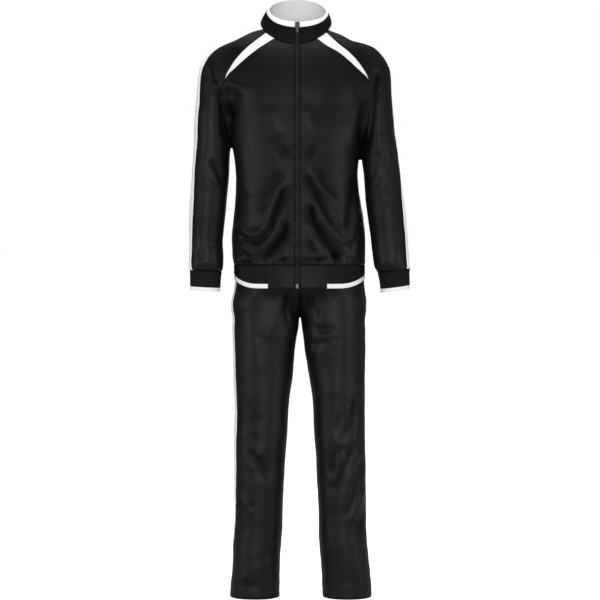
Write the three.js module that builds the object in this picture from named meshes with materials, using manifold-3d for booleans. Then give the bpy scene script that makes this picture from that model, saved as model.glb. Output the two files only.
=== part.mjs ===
import * as THREE from "three";
import { mergeVertices } from "three/addons/utils/BufferGeometryUtils.js";
import Module from "manifold-3d";

// A tracksuit, jacket and trousers, in the pose of its wearer. Millimetres, Z up, the front looks along -Y.
// Heights in the tables are above the trouser hem. The origin is the middle of the neck seam.
const neckHeight = 1525;
const clothWall = 2;
const seamGap = 0.3;
const hemTop = 902;
const hemTipHeight = 12;
const hemPlainReach = 79;
const cuffTop = 886;
const cuffBottom = 832;
const cuffTipHeight = 10;
const waistHeight = 1033;
const waistbandHeight = 36;
const zipCentre = -0.5;
const zipHalf = 6;
const rowsToArmpit = 14;
const rowsOfSleeve = 10;
const rowsOfSide = 11;
const rowsToCrotch = 12;
const rowsOfLeg = 14;

const colours = { black: 0x1e1f22, white: 0xf2f2f0, rib: 0x1a1b1d, zip: 0x2b2c2f, silver: 0xc8cacc };

// Level sections of the jacket's body: middle, half width, and how far it goes to the front and the back.
const torsoRows = [
  { z: 800, middle: 6, half: 177, front: 118, back: 114 },
  { z: 902, middle: 5, half: 176.5, front: 119, back: 115 },
  { z: 925, middle: 3, half: 178.5, front: 124, back: 119 },
  { z: 967, middle: 2.7, half: 179.6, front: 123, back: 115 },
  { z: 1021, middle: 2.4, half: 175.5, front: 121, back: 110 },
  { z: 1075, middle: 0.5, half: 169, front: 120, back: 108 },
  { z: 1129, middle: -0.8, half: 164, front: 122, back: 110 },
  { z: 1183, middle: -1.6, half: 168, front: 126, back: 115 },
  { z: 1210, middle: -1.6, half: 173, front: 128, back: 119 },
  { z: 1277, middle: 0, half: 183, front: 131, back: 124 },
  { z: 1345, middle: 0, half: 188, front: 130, back: 125 },
  { z: 1399, middle: 0, half: 190, front: 122, back: 122 },
  { z: 1453, middle: -2, half: 190, front: 105, back: 113 },
  { z: 1480, middle: -3, half: 190, front: 93, back: 107 },
  { z: 1495, middle: -4, half: 186, front: 82, back: 103 },
  { z: 1507, middle: -5, half: 178, front: 71, back: 99 },
  { z: 1523, middle: -5, half: 153, front: 55, back: 93 },
  { z: 1539, middle: -7, half: 132, front: 34, back: 86 },
  { z: 1550, middle: -9, half: 107, front: 20, back: 80 },
  { z: 1560, middle: -7, half: 88, front: 14, back: 74 },
  { z: 1580, middle: -4, half: 50, front: 12, back: 45 },
];

// Level sections of the sleeves: middle across, half width, middle front to back, half depth.
const leftArmRows = [
  { z: 832, middle: -247.5, half: 40.5, y: -45, depth: 38 },
  { z: 884, middle: -246, half: 42.5, y: -43, depth: 41 },
  { z: 892, middle: -245.5, half: 45.5, y: -42, depth: 48 },
  { z: 913, middle: -245, half: 46.8, y: -40, depth: 56 },
  { z: 967, middle: -246, half: 45.3, y: -31, depth: 60 },
  { z: 1021, middle: -243.5, half: 48, y: -20, depth: 62 },
  { z: 1075, middle: -240, half: 50, y: -10, depth: 65 },
  { z: 1129, middle: -235.5, half: 49.8, y: -2, depth: 67 },
  { z: 1183, middle: -232.4, half: 49.6, y: 3, depth: 69 },
  { z: 1210, middle: -231, half: 50, y: 5, depth: 70 },
  { z: 1277, middle: -226, half: 52.5, y: 6, depth: 71 },
  { z: 1345, middle: -220, half: 55, y: 6, depth: 70 },
  { z: 1399, middle: -212, half: 57, y: 6, depth: 67 },
  { z: 1426, middle: -206, half: 57.5, y: 5, depth: 63 },
  { z: 1453, middle: -196, half: 55, y: 4, depth: 56 },
  { z: 1474, middle: -187, half: 49, y: 3, depth: 46 },
  { z: 1488, middle: -180, half: 41, y: 2, depth: 35 },
  { z: 1497, middle: -173, half: 30, y: 2, depth: 24 },
  { z: 1503, middle: -168, half: 14, y: 2, depth: 10 },
  { z: 1512, middle: -160, half: 2, y: 2, depth: 2 },
];
const rightArmRows = [
  { z: 832, middle: 262, half: 39.5, y: -45, depth: 38 },
  { z: 884, middle: 257.5, half: 43, y: -43, depth: 41 },
  { z: 892, middle: 256.5, half: 46, y: -42, depth: 48 },
  { z: 913, middle: 253.6, half: 47.8, y: -40, depth: 56 },
  { z: 967, middle: 247.7, half: 49.5, y: -31, depth: 60 },
  { z: 1021, middle: 241, half: 51, y: -20, depth: 62 },
  { z: 1075, middle: 235.5, half: 52, y: -10, depth: 65 },
  { z: 1129, middle: 229, half: 50, y: -2, depth: 67 },
  { z: 1183, middle: 222, half: 49.7, y: 3, depth: 69 },
  { z: 1210, middle: 219, half: 50, y: 5, depth: 70 },
  { z: 1277, middle: 209, half: 52, y: 6, depth: 71 },
  { z: 1345, middle: 202, half: 54, y: 6, depth: 70 },
  { z: 1399, middle: 196, half: 56, y: 6, depth: 67 },
  { z: 1426, middle: 191, half: 57, y: 5, depth: 63 },
  { z: 1453, middle: 183, half: 53, y: 4, depth: 56 },
  { z: 1474, middle: 175, half: 48, y: 3, depth: 46 },
  { z: 1488, middle: 169, half: 41, y: 2, depth: 35 },
  { z: 1498, middle: 160, half: 29, y: 2, depth: 24 },
  { z: 1504, middle: 155, half: 13, y: 2, depth: 10 },
  { z: 1512, middle: 150, half: 2, y: 2, depth: 2 },
];

// Level sections of the trousers: the seat and hips, then each leg.
const hipRows = [
  { z: 690, middle: 3.7, half: 180, front: 111, back: 115 },
  { z: 795, middle: 3.7, half: 180, front: 112, back: 114 },
  { z: 826, middle: 5.4, half: 175.5, front: 113, back: 110 },
  { z: 848, middle: 6, half: 173.3, front: 114, back: 110 },
  { z: 902, middle: 5, half: 171.5, front: 114, back: 110 },
  { z: 960, middle: 5, half: 162, front: 112, back: 108 },
  { z: 1033, middle: 5, half: 147, front: 106, back: 96 },
  { z: 1075, middle: 5, half: 143, front: 103, back: 93 },
];
const leftLegRows = [
  { z: 0, middle: -115, half: 67, y: 10, depth: 72 },
  { z: 92, middle: -112, half: 65, y: 6, depth: 72 },
  { z: 221, middle: -106.5, half: 65.5, y: 1, depth: 73 },
  { z: 351, middle: -102.8, half: 68.8, y: -4, depth: 74 },
  { z: 416, middle: -101, half: 71, y: -5, depth: 76 },
  { z: 481, middle: -98.8, half: 72.8, y: -3, depth: 78 },
  { z: 545, middle: -95.5, half: 75.5, y: 0, depth: 83 },
  { z: 610, middle: -93, half: 80, y: 2, depth: 88 },
  { z: 675, middle: -90.3, half: 83.8, y: 2, depth: 93 },
  { z: 740, middle: -86.5, half: 89.5, y: 1, depth: 96 },
  { z: 800, middle: -84, half: 90, y: 0, depth: 95 },
  { z: 860, middle: -80, half: 76, y: 0, depth: 78 },
  { z: 1080, middle: -70, half: 50, y: 0, depth: 50 },
];
const rightLegRows = [
  { z: 0, middle: 134.5, half: 65.5, y: 10, depth: 72 },
  { z: 92, middle: 129.5, half: 66.5, y: 6, depth: 72 },
  { z: 157, middle: 124, half: 65, y: 3, depth: 73 },
  { z: 221, middle: 120.8, half: 64.3, y: 1, depth: 73 },
  { z: 286, middle: 119.3, half: 64.8, y: -2, depth: 74 },
  { z: 351, middle: 118.8, half: 67.3, y: -4, depth: 74 },
  { z: 416, middle: 115.5, half: 68, y: -5, depth: 76 },
  { z: 481, middle: 112.5, half: 69.5, y: -3, depth: 78 },
  { z: 545, middle: 111, half: 71, y: 0, depth: 83 },
  { z: 610, middle: 106.5, half: 75.5, y: 2, depth: 88 },
  { z: 675, middle: 100.5, half: 82.5, y: 2, depth: 93 },
  { z: 740, middle: 97.5, half: 86, y: 1, depth: 96 },
  { z: 800, middle: 93, half: 89, y: 0, depth: 95 },
  { z: 860, middle: 88, half: 76, y: 0, depth: 78 },
  { z: 1080, middle: 80, half: 50, y: 0, depth: 50 },
];

// Raglan seams by row from the neck: a ray goes out level from (x, z), or dips below level by so many degrees.
const raglanSeams = {
  left: {
    sleeveFront: [
      { row: 0, x: -85, z: 1523, dip: 0 },
      { row: 1.6, x: -109, z: 1503, dip: 0 },
      { row: 3, x: -130, z: 1486, dip: 0 },
      { row: 4.4, x: -150, z: 1467.5, dip: 0 },
      { row: 6, x: -170.4, z: 1443, dip: 0 },
      { row: 8, x: -193.4, z: 1399.5, dip: 0 },
      { row: 9, x: -201, z: 1370, dip: 0 },
      { row: 10, x: -200.5, z: 1334, dip: 0 },
      { row: 11, x: -192, z: 1288, dip: 0 },
      { row: 12, x: -184, z: 1258, dip: 16 },
      { row: 13, x: -180, z: 1250, dip: 52 },
      { row: 14, x: -180, z: 1248, dip: 90 },
    ],
    bodyFront: [
      { row: 0, x: -62, z: 1506.5, dip: 0 },
      { row: 1.3, x: -84.6, z: 1492.3, dip: 0 },
      { row: 3.3, x: -121, z: 1466.5, dip: 0 },
      { row: 6.1, x: -166.4, z: 1427.7, dip: 0 },
      { row: 8, x: -192.9, z: 1398.7, dip: 0 },
      { row: 9, x: -201, z: 1370, dip: 0 },
      { row: 10, x: -200.5, z: 1334, dip: 0 },
      { row: 11, x: -192, z: 1288, dip: 0 },
      { row: 12, x: -184, z: 1258, dip: 16 },
      { row: 13, x: -180, z: 1250, dip: 52 },
      { row: 14, x: -180, z: 1248, dip: 90 },
    ],
    back: [
      { row: 0, x: -52, z: 1557, dip: 0 },
      { row: 2, x: -82, z: 1533, dip: 0 },
      { row: 4, x: -116, z: 1503, dip: 0 },
      { row: 6, x: -150, z: 1466, dip: 0 },
      { row: 8, x: -180, z: 1418, dip: 0 },
      { row: 9, x: -191, z: 1386, dip: 0 },
      { row: 10, x: -197, z: 1346, dip: 0 },
      { row: 11, x: -193, z: 1298, dip: 0 },
      { row: 12, x: -184, z: 1262, dip: 16 },
      { row: 13, x: -180, z: 1250, dip: 52 },
      { row: 14, x: -180, z: 1248, dip: 90 },
    ],
  },
  right: {
    sleeveFront: [
      { row: 0, x: 78.3, z: 1523, dip: 0 },
      { row: 2, x: 111.6, z: 1490, dip: 0 },
      { row: 4, x: 140, z: 1467.5, dip: 0 },
      { row: 6, x: 164.6, z: 1440.6, dip: 0 },
      { row: 8, x: 190, z: 1397.5, dip: 0 },
      { row: 9, x: 198, z: 1368, dip: 0 },
      { row: 10, x: 196, z: 1330, dip: 0 },
      { row: 11, x: 186, z: 1280, dip: 0 },
      { row: 12, x: 175, z: 1248, dip: 16 },
      { row: 13, x: 171, z: 1238, dip: 52 },
      { row: 14, x: 171, z: 1236, dip: 90 },
    ],
    bodyFront: [
      { row: 0, x: 52.4, z: 1506.5, dip: 0 },
      { row: 1.5, x: 78.6, z: 1486.6, dip: 0 },
      { row: 3.2, x: 111.3, z: 1467.8, dip: 0 },
      { row: 4.8, x: 135.8, z: 1448.2, dip: 0 },
      { row: 6.6, x: 164.4, z: 1421.9, dip: 0 },
      { row: 8, x: 189.5, z: 1396.7, dip: 0 },
      { row: 9, x: 198, z: 1368, dip: 0 },
      { row: 10, x: 196, z: 1330, dip: 0 },
      { row: 11, x: 186, z: 1280, dip: 0 },
      { row: 12, x: 175, z: 1248, dip: 16 },
      { row: 13, x: 171, z: 1238, dip: 52 },
      { row: 14, x: 171, z: 1236, dip: 90 },
    ],
    back: [
      { row: 0, x: 44, z: 1557, dip: 0 },
      { row: 2, x: 74, z: 1533, dip: 0 },
      { row: 4, x: 108, z: 1503, dip: 0 },
      { row: 6, x: 142, z: 1466, dip: 0 },
      { row: 8, x: 173, z: 1418, dip: 0 },
      { row: 9, x: 184, z: 1384, dip: 0 },
      { row: 10, x: 189, z: 1340, dip: 0 },
      { row: 11, x: 185, z: 1288, dip: 0 },
      { row: 12, x: 175, z: 1250, dip: 16 },
      { row: 13, x: 171, z: 1238, dip: 52 },
      { row: 14, x: 171, z: 1236, dip: 90 },
    ],
  },
};

// Rows of the sleeve cap: the middle that they fan out from, and the tilt of each from upright.
const capRows = {
  left: [
    { row: 0, x: -70, z: 1482, tilt: 8 },
    { row: 2, x: -95, z: 1462, tilt: 22 },
    { row: 4, x: -125, z: 1440, tilt: 33 },
    { row: 6, x: -152, z: 1412, tilt: 45 },
    { row: 8, x: -178, z: 1380, tilt: 57 },
    { row: 10, x: -205, z: 1330, tilt: 70 },
    { row: 12, x: -222, z: 1264, tilt: 82 },
    { row: 14, x: -231, z: 1208, tilt: 90 },
    { row: 19, x: -231, z: 1208, tilt: 89.5 },
    { row: 24, x: -231, z: 1208, tilt: 87 },
  ],
  right: [
    { row: 0, x: 62, z: 1482, tilt: 8 },
    { row: 2, x: 86, z: 1462, tilt: 22 },
    { row: 4, x: 114, z: 1440, tilt: 33 },
    { row: 6, x: 140, z: 1412, tilt: 45 },
    { row: 8, x: 164, z: 1380, tilt: 57 },
    { row: 10, x: 190, z: 1328, tilt: 70 },
    { row: 12, x: 207, z: 1264, tilt: 81 },
    { row: 14, x: 219, z: 1200, tilt: 90 },
    { row: 19, x: 219, z: 1200, tilt: 89 },
    { row: 24, x: 219, z: 1200, tilt: 82.5 },
  ],
};
const sleeveStripe = {
  half: 28,
  left: [
    { row: 0, shift: 18 },
    { row: 3.5, shift: 21 },
    { row: 5, shift: 14 },
    { row: 7, shift: 3 },
    { row: 9, shift: 9 },
    { row: 10.5, shift: 16 },
    { row: 12, shift: 15 },
    { row: 15, shift: 10 },
    { row: 18, shift: 13 },
    { row: 20, shift: 10 },
    { row: 22, shift: 6 },
    { row: 24, shift: 1 },
  ],
  right: [
    { row: 0, shift: 20 },
    { row: 1.5, shift: 26 },
    { row: 3.5, shift: 31 },
    { row: 5, shift: 15 },
    { row: 6.2, shift: 0 },
    { row: 7.5, shift: -15 },
    { row: 10, shift: -22 },
    { row: 15, shift: -17 },
    { row: 16.5, shift: -8 },
    { row: 18, shift: 3 },
    { row: 22, shift: 4 },
    { row: 24, shift: 1 },
  ],
};

// How far in from the raglan seam, and above it, the rays of the body panels start.
const bodyReach = [
  { row: 0, inward: 10, above: -6, y: -5 },
  { row: 4, inward: 20, above: 0, y: 0 },
  { row: 10, inward: 30, above: 0, y: 3 },
  { row: 11, inward: 36, above: 0, y: 3 },
  { row: 12, inward: 43, above: 4, y: 4 },
  { row: 13, inward: 56, above: 5, y: 5 },
  { row: 14, inward: 81, above: -2, y: 5 },
];

// The rise seam between the legs, and the middles that the rows of a leg start from.
const riseRows = [
  { row: 0, z: 1033, dip: 0 },
  { row: 3, z: 965, dip: 0 },
  { row: 6, z: 900, dip: 0 },
  { row: 8, z: 876, dip: 14 },
  { row: 10, z: 869, dip: 45 },
  { row: 12, z: 868, dip: 90 },
];
const hipMiddles = [
  { row: 0, reach: 0.45, z: 1033 },
  { row: 3, reach: 0.5, z: 965 },
  { row: 6, reach: 0.62, z: 900 },
  { row: 8, reach: 0.75, z: 862 },
  { row: 10, reach: 0.9, z: 815 },
  { row: 12, reach: 1, z: 775 },
];
const legStripe = {
  half: 25,
  left: [
    { row: 0, shift: 0 },
    { row: 10, shift: 6 },
    { row: 13, shift: 10 },
    { row: 19, shift: 9 },
    { row: 22, shift: -3 },
    { row: 26, shift: -16 },
  ],
  right: [
    { row: 0, shift: -20 },
    { row: 26, shift: -20 },
  ],
};

// The largest folds, each along a bent line across the front or the back: width, and depth out (+) or in (-).
const jacketFolds = {
  front: [
    {from: [-158, 1394], via: [-140, 1378], to: [-126, 1362], width: 20, depth: 5},
    {from: [-78, 1303], via: [-52, 1266], to: [-25, 1224], width: 24, depth: 4},
    {from: [-49, 1208], via: [-39, 1189], to: [-33, 1168], width: 12, depth: -6},
    {from: [-57, 1154], via: [-100, 1112], to: [-116, 1059], width: 14, depth: 5},
    {from: [-31, 1165], via: [-73, 1032], to: [-142, 995], width: 13, depth: 6},
    {from: [-36, 1117], via: [-57, 1043], to: [-105, 1006], width: 11, depth: -6},
    {from: [-158, 990], via: [-110, 960], to: [-73, 974], width: 12, depth: -6},
    {from: [-25, 1016], via: [-55, 968], to: [-100, 910], width: 13, depth: -8},
    {from: [36, 1213], via: [39, 1197], to: [44, 1176], width: 12, depth: -6},
    {from: [28, 1165], via: [65, 1123], to: [113, 1069], width: 15, depth: 5},
    {from: [28, 1139], via: [44, 1112], to: [60, 1085], width: 11, depth: -5},
    {from: [28, 1075], via: [73, 984], to: [134, 910], width: 14, depth: -8},
    {from: [150, 1128], via: [145, 1053], to: [134, 984], width: 14, depth: -5},
    {from: [-233, 1189], via: [-209, 1149], to: [-190, 1109], width: 11, depth: -5},
    {from: [-238, 1436], via: [-206, 1367], to: [-190, 1261], width: 12, depth: -4},
    {from: [251, 1202], via: [225, 1149], to: [209, 1080], width: 12, depth: -6},
  ],
  back: [
    { from: [-150, 1380], via: [-120, 1300], to: [-105, 1220], width: 20, depth: -5 },
    { from: [148, 1370], via: [126, 1290], to: [112, 1200], width: 19, depth: -5 },
    { from: [-60, 1440], via: [0, 1422], to: [66, 1446], width: 18, depth: 4 },
    { from: [-140, 1080], via: [-60, 1030], to: [10, 1046], width: 16, depth: -6 },
    { from: [150, 1060], via: [86, 1000], to: [14, 992], width: 16, depth: -6 },
    { from: [-120, 1000], via: [-60, 962], to: [-16, 968], width: 14, depth: 5 },
    { from: [-236, 1190], via: [-220, 1150], to: [-214, 1110], width: 14, depth: 4 },
    { from: [226, 1200], via: [214, 1150], to: [208, 1100], width: 14, depth: 4 },
  ],
};
const trouserFolds = {
  front: [
    {from: [-31, 830], via: [-28, 790], to: [-28, 750], width: 10, depth: -4},
    {from: [-47, 819], via: [-57, 750], to: [-105, 702], width: 12, depth: 4},
    {from: [-132, 415], via: [-102, 394], to: [-78, 341], width: 13, depth: -6},
    {from: [-153, 303], via: [-126, 266], to: [-116, 229], width: 12, depth: -4},
    {from: [49, 729], via: [70, 734], to: [92, 740], width: 9, depth: -4},
    {from: [156, 527], via: [118, 458], to: [92, 399], width: 13, depth: -6},
    {from: [172, 426], via: [134, 373], to: [97, 309], width: 12, depth: -5},
    {from: [166, 325], via: [148, 266], to: [134, 218], width: 12, depth: -4},
  ],
  back: [
    { from: [-140, 770], via: [-90, 742], to: [-30, 748], width: 15, depth: -5 },
    { from: [150, 764], via: [100, 738], to: [44, 744], width: 15, depth: -5 },
    { from: [-150, 500], via: [-110, 470], to: [-62, 486], width: 16, depth: -5 },
    { from: [168, 492], via: [120, 462], to: [76, 480], width: 16, depth: -5 },
    { from: [-140, 300], via: [-118, 240], to: [-124, 170], width: 14, depth: -4 },
    { from: [140, 310], via: [120, 250], to: [130, 170], width: 14, depth: -4 },
  ],
};

const clamp = (value, low, high) => Math.min(high, Math.max(low, value));
const ease = (value) => clamp(value, 0, 1) ** 2 * (3 - 2 * clamp(value, 0, 1));
const mix = (a, b, share) => a + (b - a) * share;
const radians = (degrees) => (degrees * Math.PI) / 180;
const at = (x, y, z) => new THREE.Vector3(x, y, z);

// A smooth curve through one column of a table, by its key column, with no swing past a row.
function curve(rows, key, column) {
  const k = rows.map((row) => row[key]);
  const v = rows.map((row) => row[column]);
  const steep = k.slice(1).map((_, i) => (v[i + 1] - v[i]) / (k[i + 1] - k[i]));
  const lean = k.map((_, i) => {
    if (i === 0 || i === k.length - 1 || steep[i - 1] * steep[i] <= 0) return 0;
    return (2 * steep[i - 1] * steep[i]) / (steep[i - 1] + steep[i]);
  });
  return (place) => {
    if (place <= k[0]) return v[0];
    if (place >= k[k.length - 1]) return v[k.length - 1];
    let i = 0;
    while (place > k[i + 1]) i += 1;
    const span = k[i + 1] - k[i];
    const t = (place - k[i]) / span;
    const rest = v[i] * (1 + 2 * t) * (1 - t) ** 2 + v[i + 1] * t * t * (3 - 2 * t);
    return rest + span * (lean[i] * t * (1 - t) ** 2 - lean[i + 1] * t * t * (1 - t));
  };
}

function curves(rows, key) {
  const made = {};
  for (const column of Object.keys(rows[0])) {
    if (column !== key) made[column] = curve(rows, key, column);
  }
  return made;
}

// Distance outside (+) or inside (-) a level section with rounded sides.
function outsideSection(dx, dy, half, depth, power) {
  const size = (Math.abs(dx / half) ** power + Math.abs(dy / depth) ** power) ** (1 / power);
  return size < 1e-6 ? -Math.min(half, depth) : Math.hypot(dx, dy) * (1 - 1 / size);
}

function joined(a, b, round) {
  const near = Math.max(round - Math.abs(a - b), 0) / round;
  return Math.min(a, b) - (near * near * round) / 4;
}

const torso = curves(torsoRows, "z");
const arms = { left: curves(leftArmRows, "z"), right: curves(rightArmRows, "z") };
const hips = curves(hipRows, "z");
const legs = { left: curves(leftLegRows, "z"), right: curves(rightLegRows, "z") };

function tube(sizes, power, p) {
  const dx = p.x - sizes.middle(p.z);
  return outsideSection(dx, p.y - sizes.y(p.z), sizes.half(p.z), sizes.depth(p.z), power);
}

function jacketForm(p) {
  const depth = p.y < 0 ? torso.front(p.z) : torso.back(p.z);
  const body = outsideSection(p.x - torso.middle(p.z), p.y, torso.half(p.z), depth, 2.3);
  const overCap = 1.5 * Math.max(p.z - 1503, 0);
  const arm = tube(p.x < 0 ? arms.left : arms.right, 2.1, p) + overCap;
  return joined(body, arm, 8 + 34 * ease((p.z - 1200) / 200));
}

const riseCurve = (y) => 770 + 98 * Math.abs(y / 116) ** 3;

function trouserForm(p) {
  const depth = p.y < 0 ? hips.front(p.z) : hips.back(p.z);
  const level = outsideSection(p.x - hips.middle(p.z), p.y, hips.half(p.z), depth, 2.3);
  const under = (riseCurve(p.y) - p.z) * 0.8;
  const seat = -joined(-level, -under, 14);
  const legForms = joined(tube(legs.left, 2.1, p), tube(legs.right, 2.1, p), 5);
  return joined(seat, legForms, 16);
}

function wayOut(form, start, towards) {
  const direction = towards.clone().normalize();
  const place = (far) => start.clone().addScaledVector(direction, far);
  let near = 0;
  let far = 4;
  while (form(place(far)) < 0 && far < 400) {
    near = far;
    far += 4;
  }
  for (let i = 0; i < 16; i += 1) {
    const half = (near + far) / 2;
    if (form(place(half)) < 0) near = half;
    else far = half;
  }
  return place((near + far) / 2);
}

function facing(form, p) {
  const step = 1.5;
  const rise = (dx, dy, dz) => form(at(p.x + dx, p.y + dy, p.z + dz)) - form(at(p.x - dx, p.y - dy, p.z - dz));
  return at(rise(step, 0, 0), rise(0, step, 0), rise(0, 0, step)).normalize();
}

// How far a fold table moves the cloth out at a point that faces a given way.
function foldHeight(folds, p, normal) {
  const side = normal.y < 0 ? folds.front : folds.back;
  const seen = ease((Math.abs(normal.y) - 0.1) / 0.35);
  let height = 0;
  for (const { from, via, to, width, depth } of side) {
    let nearest = Infinity;
    let way = 0;
    for (const [start, end, before] of [[from, via, 0], [via, to, 0.5]]) {
      const along = [end[0] - start[0], end[1] - start[1]];
      const share = ((p.x - start[0]) * along[0] + (p.z - start[1]) * along[1]) / Math.hypot(...along) ** 2;
      const inLine = clamp(share, 0, 1);
      const off = Math.hypot(p.x - start[0] - inLine * along[0], p.z - start[1] - inLine * along[1]);
      if (off < nearest) {
        nearest = off;
        way = before + inLine / 2;
      }
    }
    height += depth * Math.exp(-((nearest / width) ** 2)) * (0.35 + 0.65 * Math.sin(Math.PI * way));
  }
  return clamp(height, -10, 9) * seen;
}

// A closed solid from a grid of outer points and one of inner points, a row at a time.
function solidFromGrids(outer, inner, ring) {
  const rows = outer.length;
  const columns = outer[0].length;
  const points = [...outer.flat(), ...inner.flat()];
  const index = (layer, row, column) => layer * rows * columns + row * columns + (column % columns);
  const faces = [];
  const quad = (a, b, c, d) => faces.push(a, b, c, a, c, d);
  const across = ring ? columns : columns - 1;
  for (let row = 0; row < rows - 1; row += 1) {
    for (let column = 0; column < across; column += 1) {
      const next = column + 1;
      quad(index(0, row, column), index(0, row, next), index(0, row + 1, next), index(0, row + 1, column));
      quad(index(1, row, column), index(1, row + 1, column), index(1, row + 1, next), index(1, row, next));
    }
  }
  for (let column = 0; column < across; column += 1) {
    const next = column + 1;
    const last = rows - 1;
    quad(index(0, 0, column), index(1, 0, column), index(1, 0, next), index(0, 0, next));
    quad(index(0, last, column), index(0, last, next), index(1, last, next), index(1, last, column));
  }
  for (let row = 0; row < rows - 1 && !ring; row += 1) {
    const last = columns - 1;
    quad(index(0, row, 0), index(0, row + 1, 0), index(1, row + 1, 0), index(1, row, 0));
    quad(index(0, row, last), index(1, row, last), index(1, row + 1, last), index(0, row + 1, last));
  }
  const volume = (list) => {
    let six = 0;
    for (let i = 0; i < list.length; i += 3) {
      const [a, b, c] = [points[list[i]], points[list[i + 1]], points[list[i + 2]]];
      six += a.dot(b.clone().cross(c));
    }
    return six;
  };
  if (volume(faces) < 0) faces.reverse();
  const geometry = new THREE.BufferGeometry();
  const numbers = points.flatMap((p) => [p.x, p.y, p.z - neckHeight]);
  geometry.setAttribute("position", new THREE.Float32BufferAttribute(numbers, 3));
  geometry.setIndex(faces);
  geometry.computeVertexNormals();
  return geometry;
}

const whole = new THREE.Group();
whole.name = "tracksuit";

function material(colour, roughness = 0.85, metalness = 0) {
  return new THREE.MeshStandardMaterial({ color: colours[colour], roughness, metalness });
}

function add(name, colour, geometry, roughness, metalness) {
  const mesh = new THREE.Mesh(geometry, material(colour, roughness, metalness));
  mesh.name = name;
  whole.add(mesh);
}

// One cut piece of cloth. The skin gives a point and a facing for each place of its grid.
function cloth(name, colour, columns, rows, skin, wall = clothWall, ring = false) {
  const outer = [];
  const inner = [];
  for (let j = 0; j <= rows; j += 1) {
    const outside = [];
    const inside = [];
    for (let i = 0; i < (ring ? columns : columns + 1); i += 1) {
      const { point, normal } = skin(i / columns, j / rows);
      outside.push(point);
      inside.push(point.clone().addScaledVector(normal, -wall));
    }
    outer.push(outside);
    inner.push(inside);
  }
  // Each edge moves in by half the seam gap, and a little more on the inner face.
  const pull = (grid, j, i, toJ, toI) => {
    const step = grid[toJ][toI].clone().sub(grid[j][i]).normalize();
    return grid[j][i].clone().addScaledVector(step, grid === outer ? seamGap / 2 : seamGap);
  };
  for (const grid of [outer, inner]) {
    const last = grid.length - 1;
    for (let i = 0; i < grid[0].length; i += 1) {
      grid[0][i] = pull(grid, 0, i, 1, i);
      grid[last][i] = pull(grid, last, i, last - 1, i);
    }
    for (let j = 0; j <= last && !ring; j += 1) {
      const end = grid[j].length - 1;
      grid[j][0] = pull(grid, j, 0, j, 1);
      grid[j][end] = pull(grid, j, end, j, end - 1);
    }
  }
  add(name, colour, solidFromGrids(outer, inner, ring));
}

// The neck seam, by its angle from the front toward the wearer's left.
const neckSeam = { middleX: -4, middleY: -5, half: 96, depth: 80 };
function neckRing(angle) {
  const side = Math.sin(angle);
  const front = Math.cos(angle);
  const height = neckHeight - 34 * front + 23 * side * side;
  return at(neckSeam.middleX + neckSeam.half * side, neckSeam.middleY - neckSeam.depth * front, height);
}
function ontoNeck(p) {
  const side = (p.x - neckSeam.middleX) / neckSeam.half;
  const front = -(p.y - neckSeam.middleY) / neckSeam.depth;
  return neckRing(Math.atan2(side, front)).sub(p);
}

// A row of rays across a panel runs between two ends, each with its start and the seam point it comes out at.
function rowEnd(axes, start, point) {
  const reach = point.clone().sub(start);
  const out = reach.dot(axes.out);
  const turn = reach.dot(axes.turn);
  return { start, point, angle: Math.atan2(turn, out), slope: reach.dot(axes.along) / Math.hypot(out, turn) };
}
function rowPoint(form, axes, a, b, share) {
  if (share <= 0) return a.point.clone();
  if (share >= 1) return b.point.clone();
  const start = a.start.clone().lerp(b.start, share);
  const angle = mix(a.angle, b.angle, share);
  const slope = a.slope * (1 - share) ** 2 + b.slope * share ** 2;
  const direction = axes.out.clone().multiplyScalar(Math.cos(angle));
  direction.addScaledVector(axes.turn, Math.sin(angle)).addScaledVector(axes.along, slope);
  return wayOut(form, start, direction);
}

// The cloth of a garment at a place of a row: its own form, eased onto the neck seam, then its folds.
function clothPoint(form, folds, base, neckShift, weight) {
  const normal = facing(form, base);
  const point = base.clone();
  if (weight > 0) point.addScaledVector(neckShift, weight);
  point.addScaledVector(normal, foldHeight(folds, point, normal) * (1 - weight));
  return { point, normal };
}
const neckWeight = (row) => clamp(1 - row / 3.5, 0, 1) ** 2;

function seamCurves(side) {
  const made = {};
  for (const name of Object.keys(raglanSeams[side])) made[name] = curves(raglanSeams[side][name], "row");
  return made;
}
const raglan = { left: seamCurves("left"), right: seamCurves("right") };

function raglanPoint(side, name, row) {
  const seam = raglan[side][name];
  const dip = radians(seam.dip(row));
  const towards = name === "back" ? 1 : -1;
  const start = at(seam.x(row), row > 11 ? 5 : 0, seam.z(row));
  return wayOut(jacketForm, start, at(0, towards * Math.cos(dip), -Math.sin(dip)));
}
const armpits = { left: raglanPoint("left", "back", 14), right: raglanPoint("right", "back", 14) };

// Sleeves. Rows 0 to 14 fan over the cap, the rest go down the arm to the cuff.
const caps = { left: curves(capRows.left, "row"), right: curves(capRows.right, "row") };
const stripeShift = {
  left: curves(sleeveStripe.left, "row"),
  right: curves(sleeveStripe.right, "row"),
};

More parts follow.
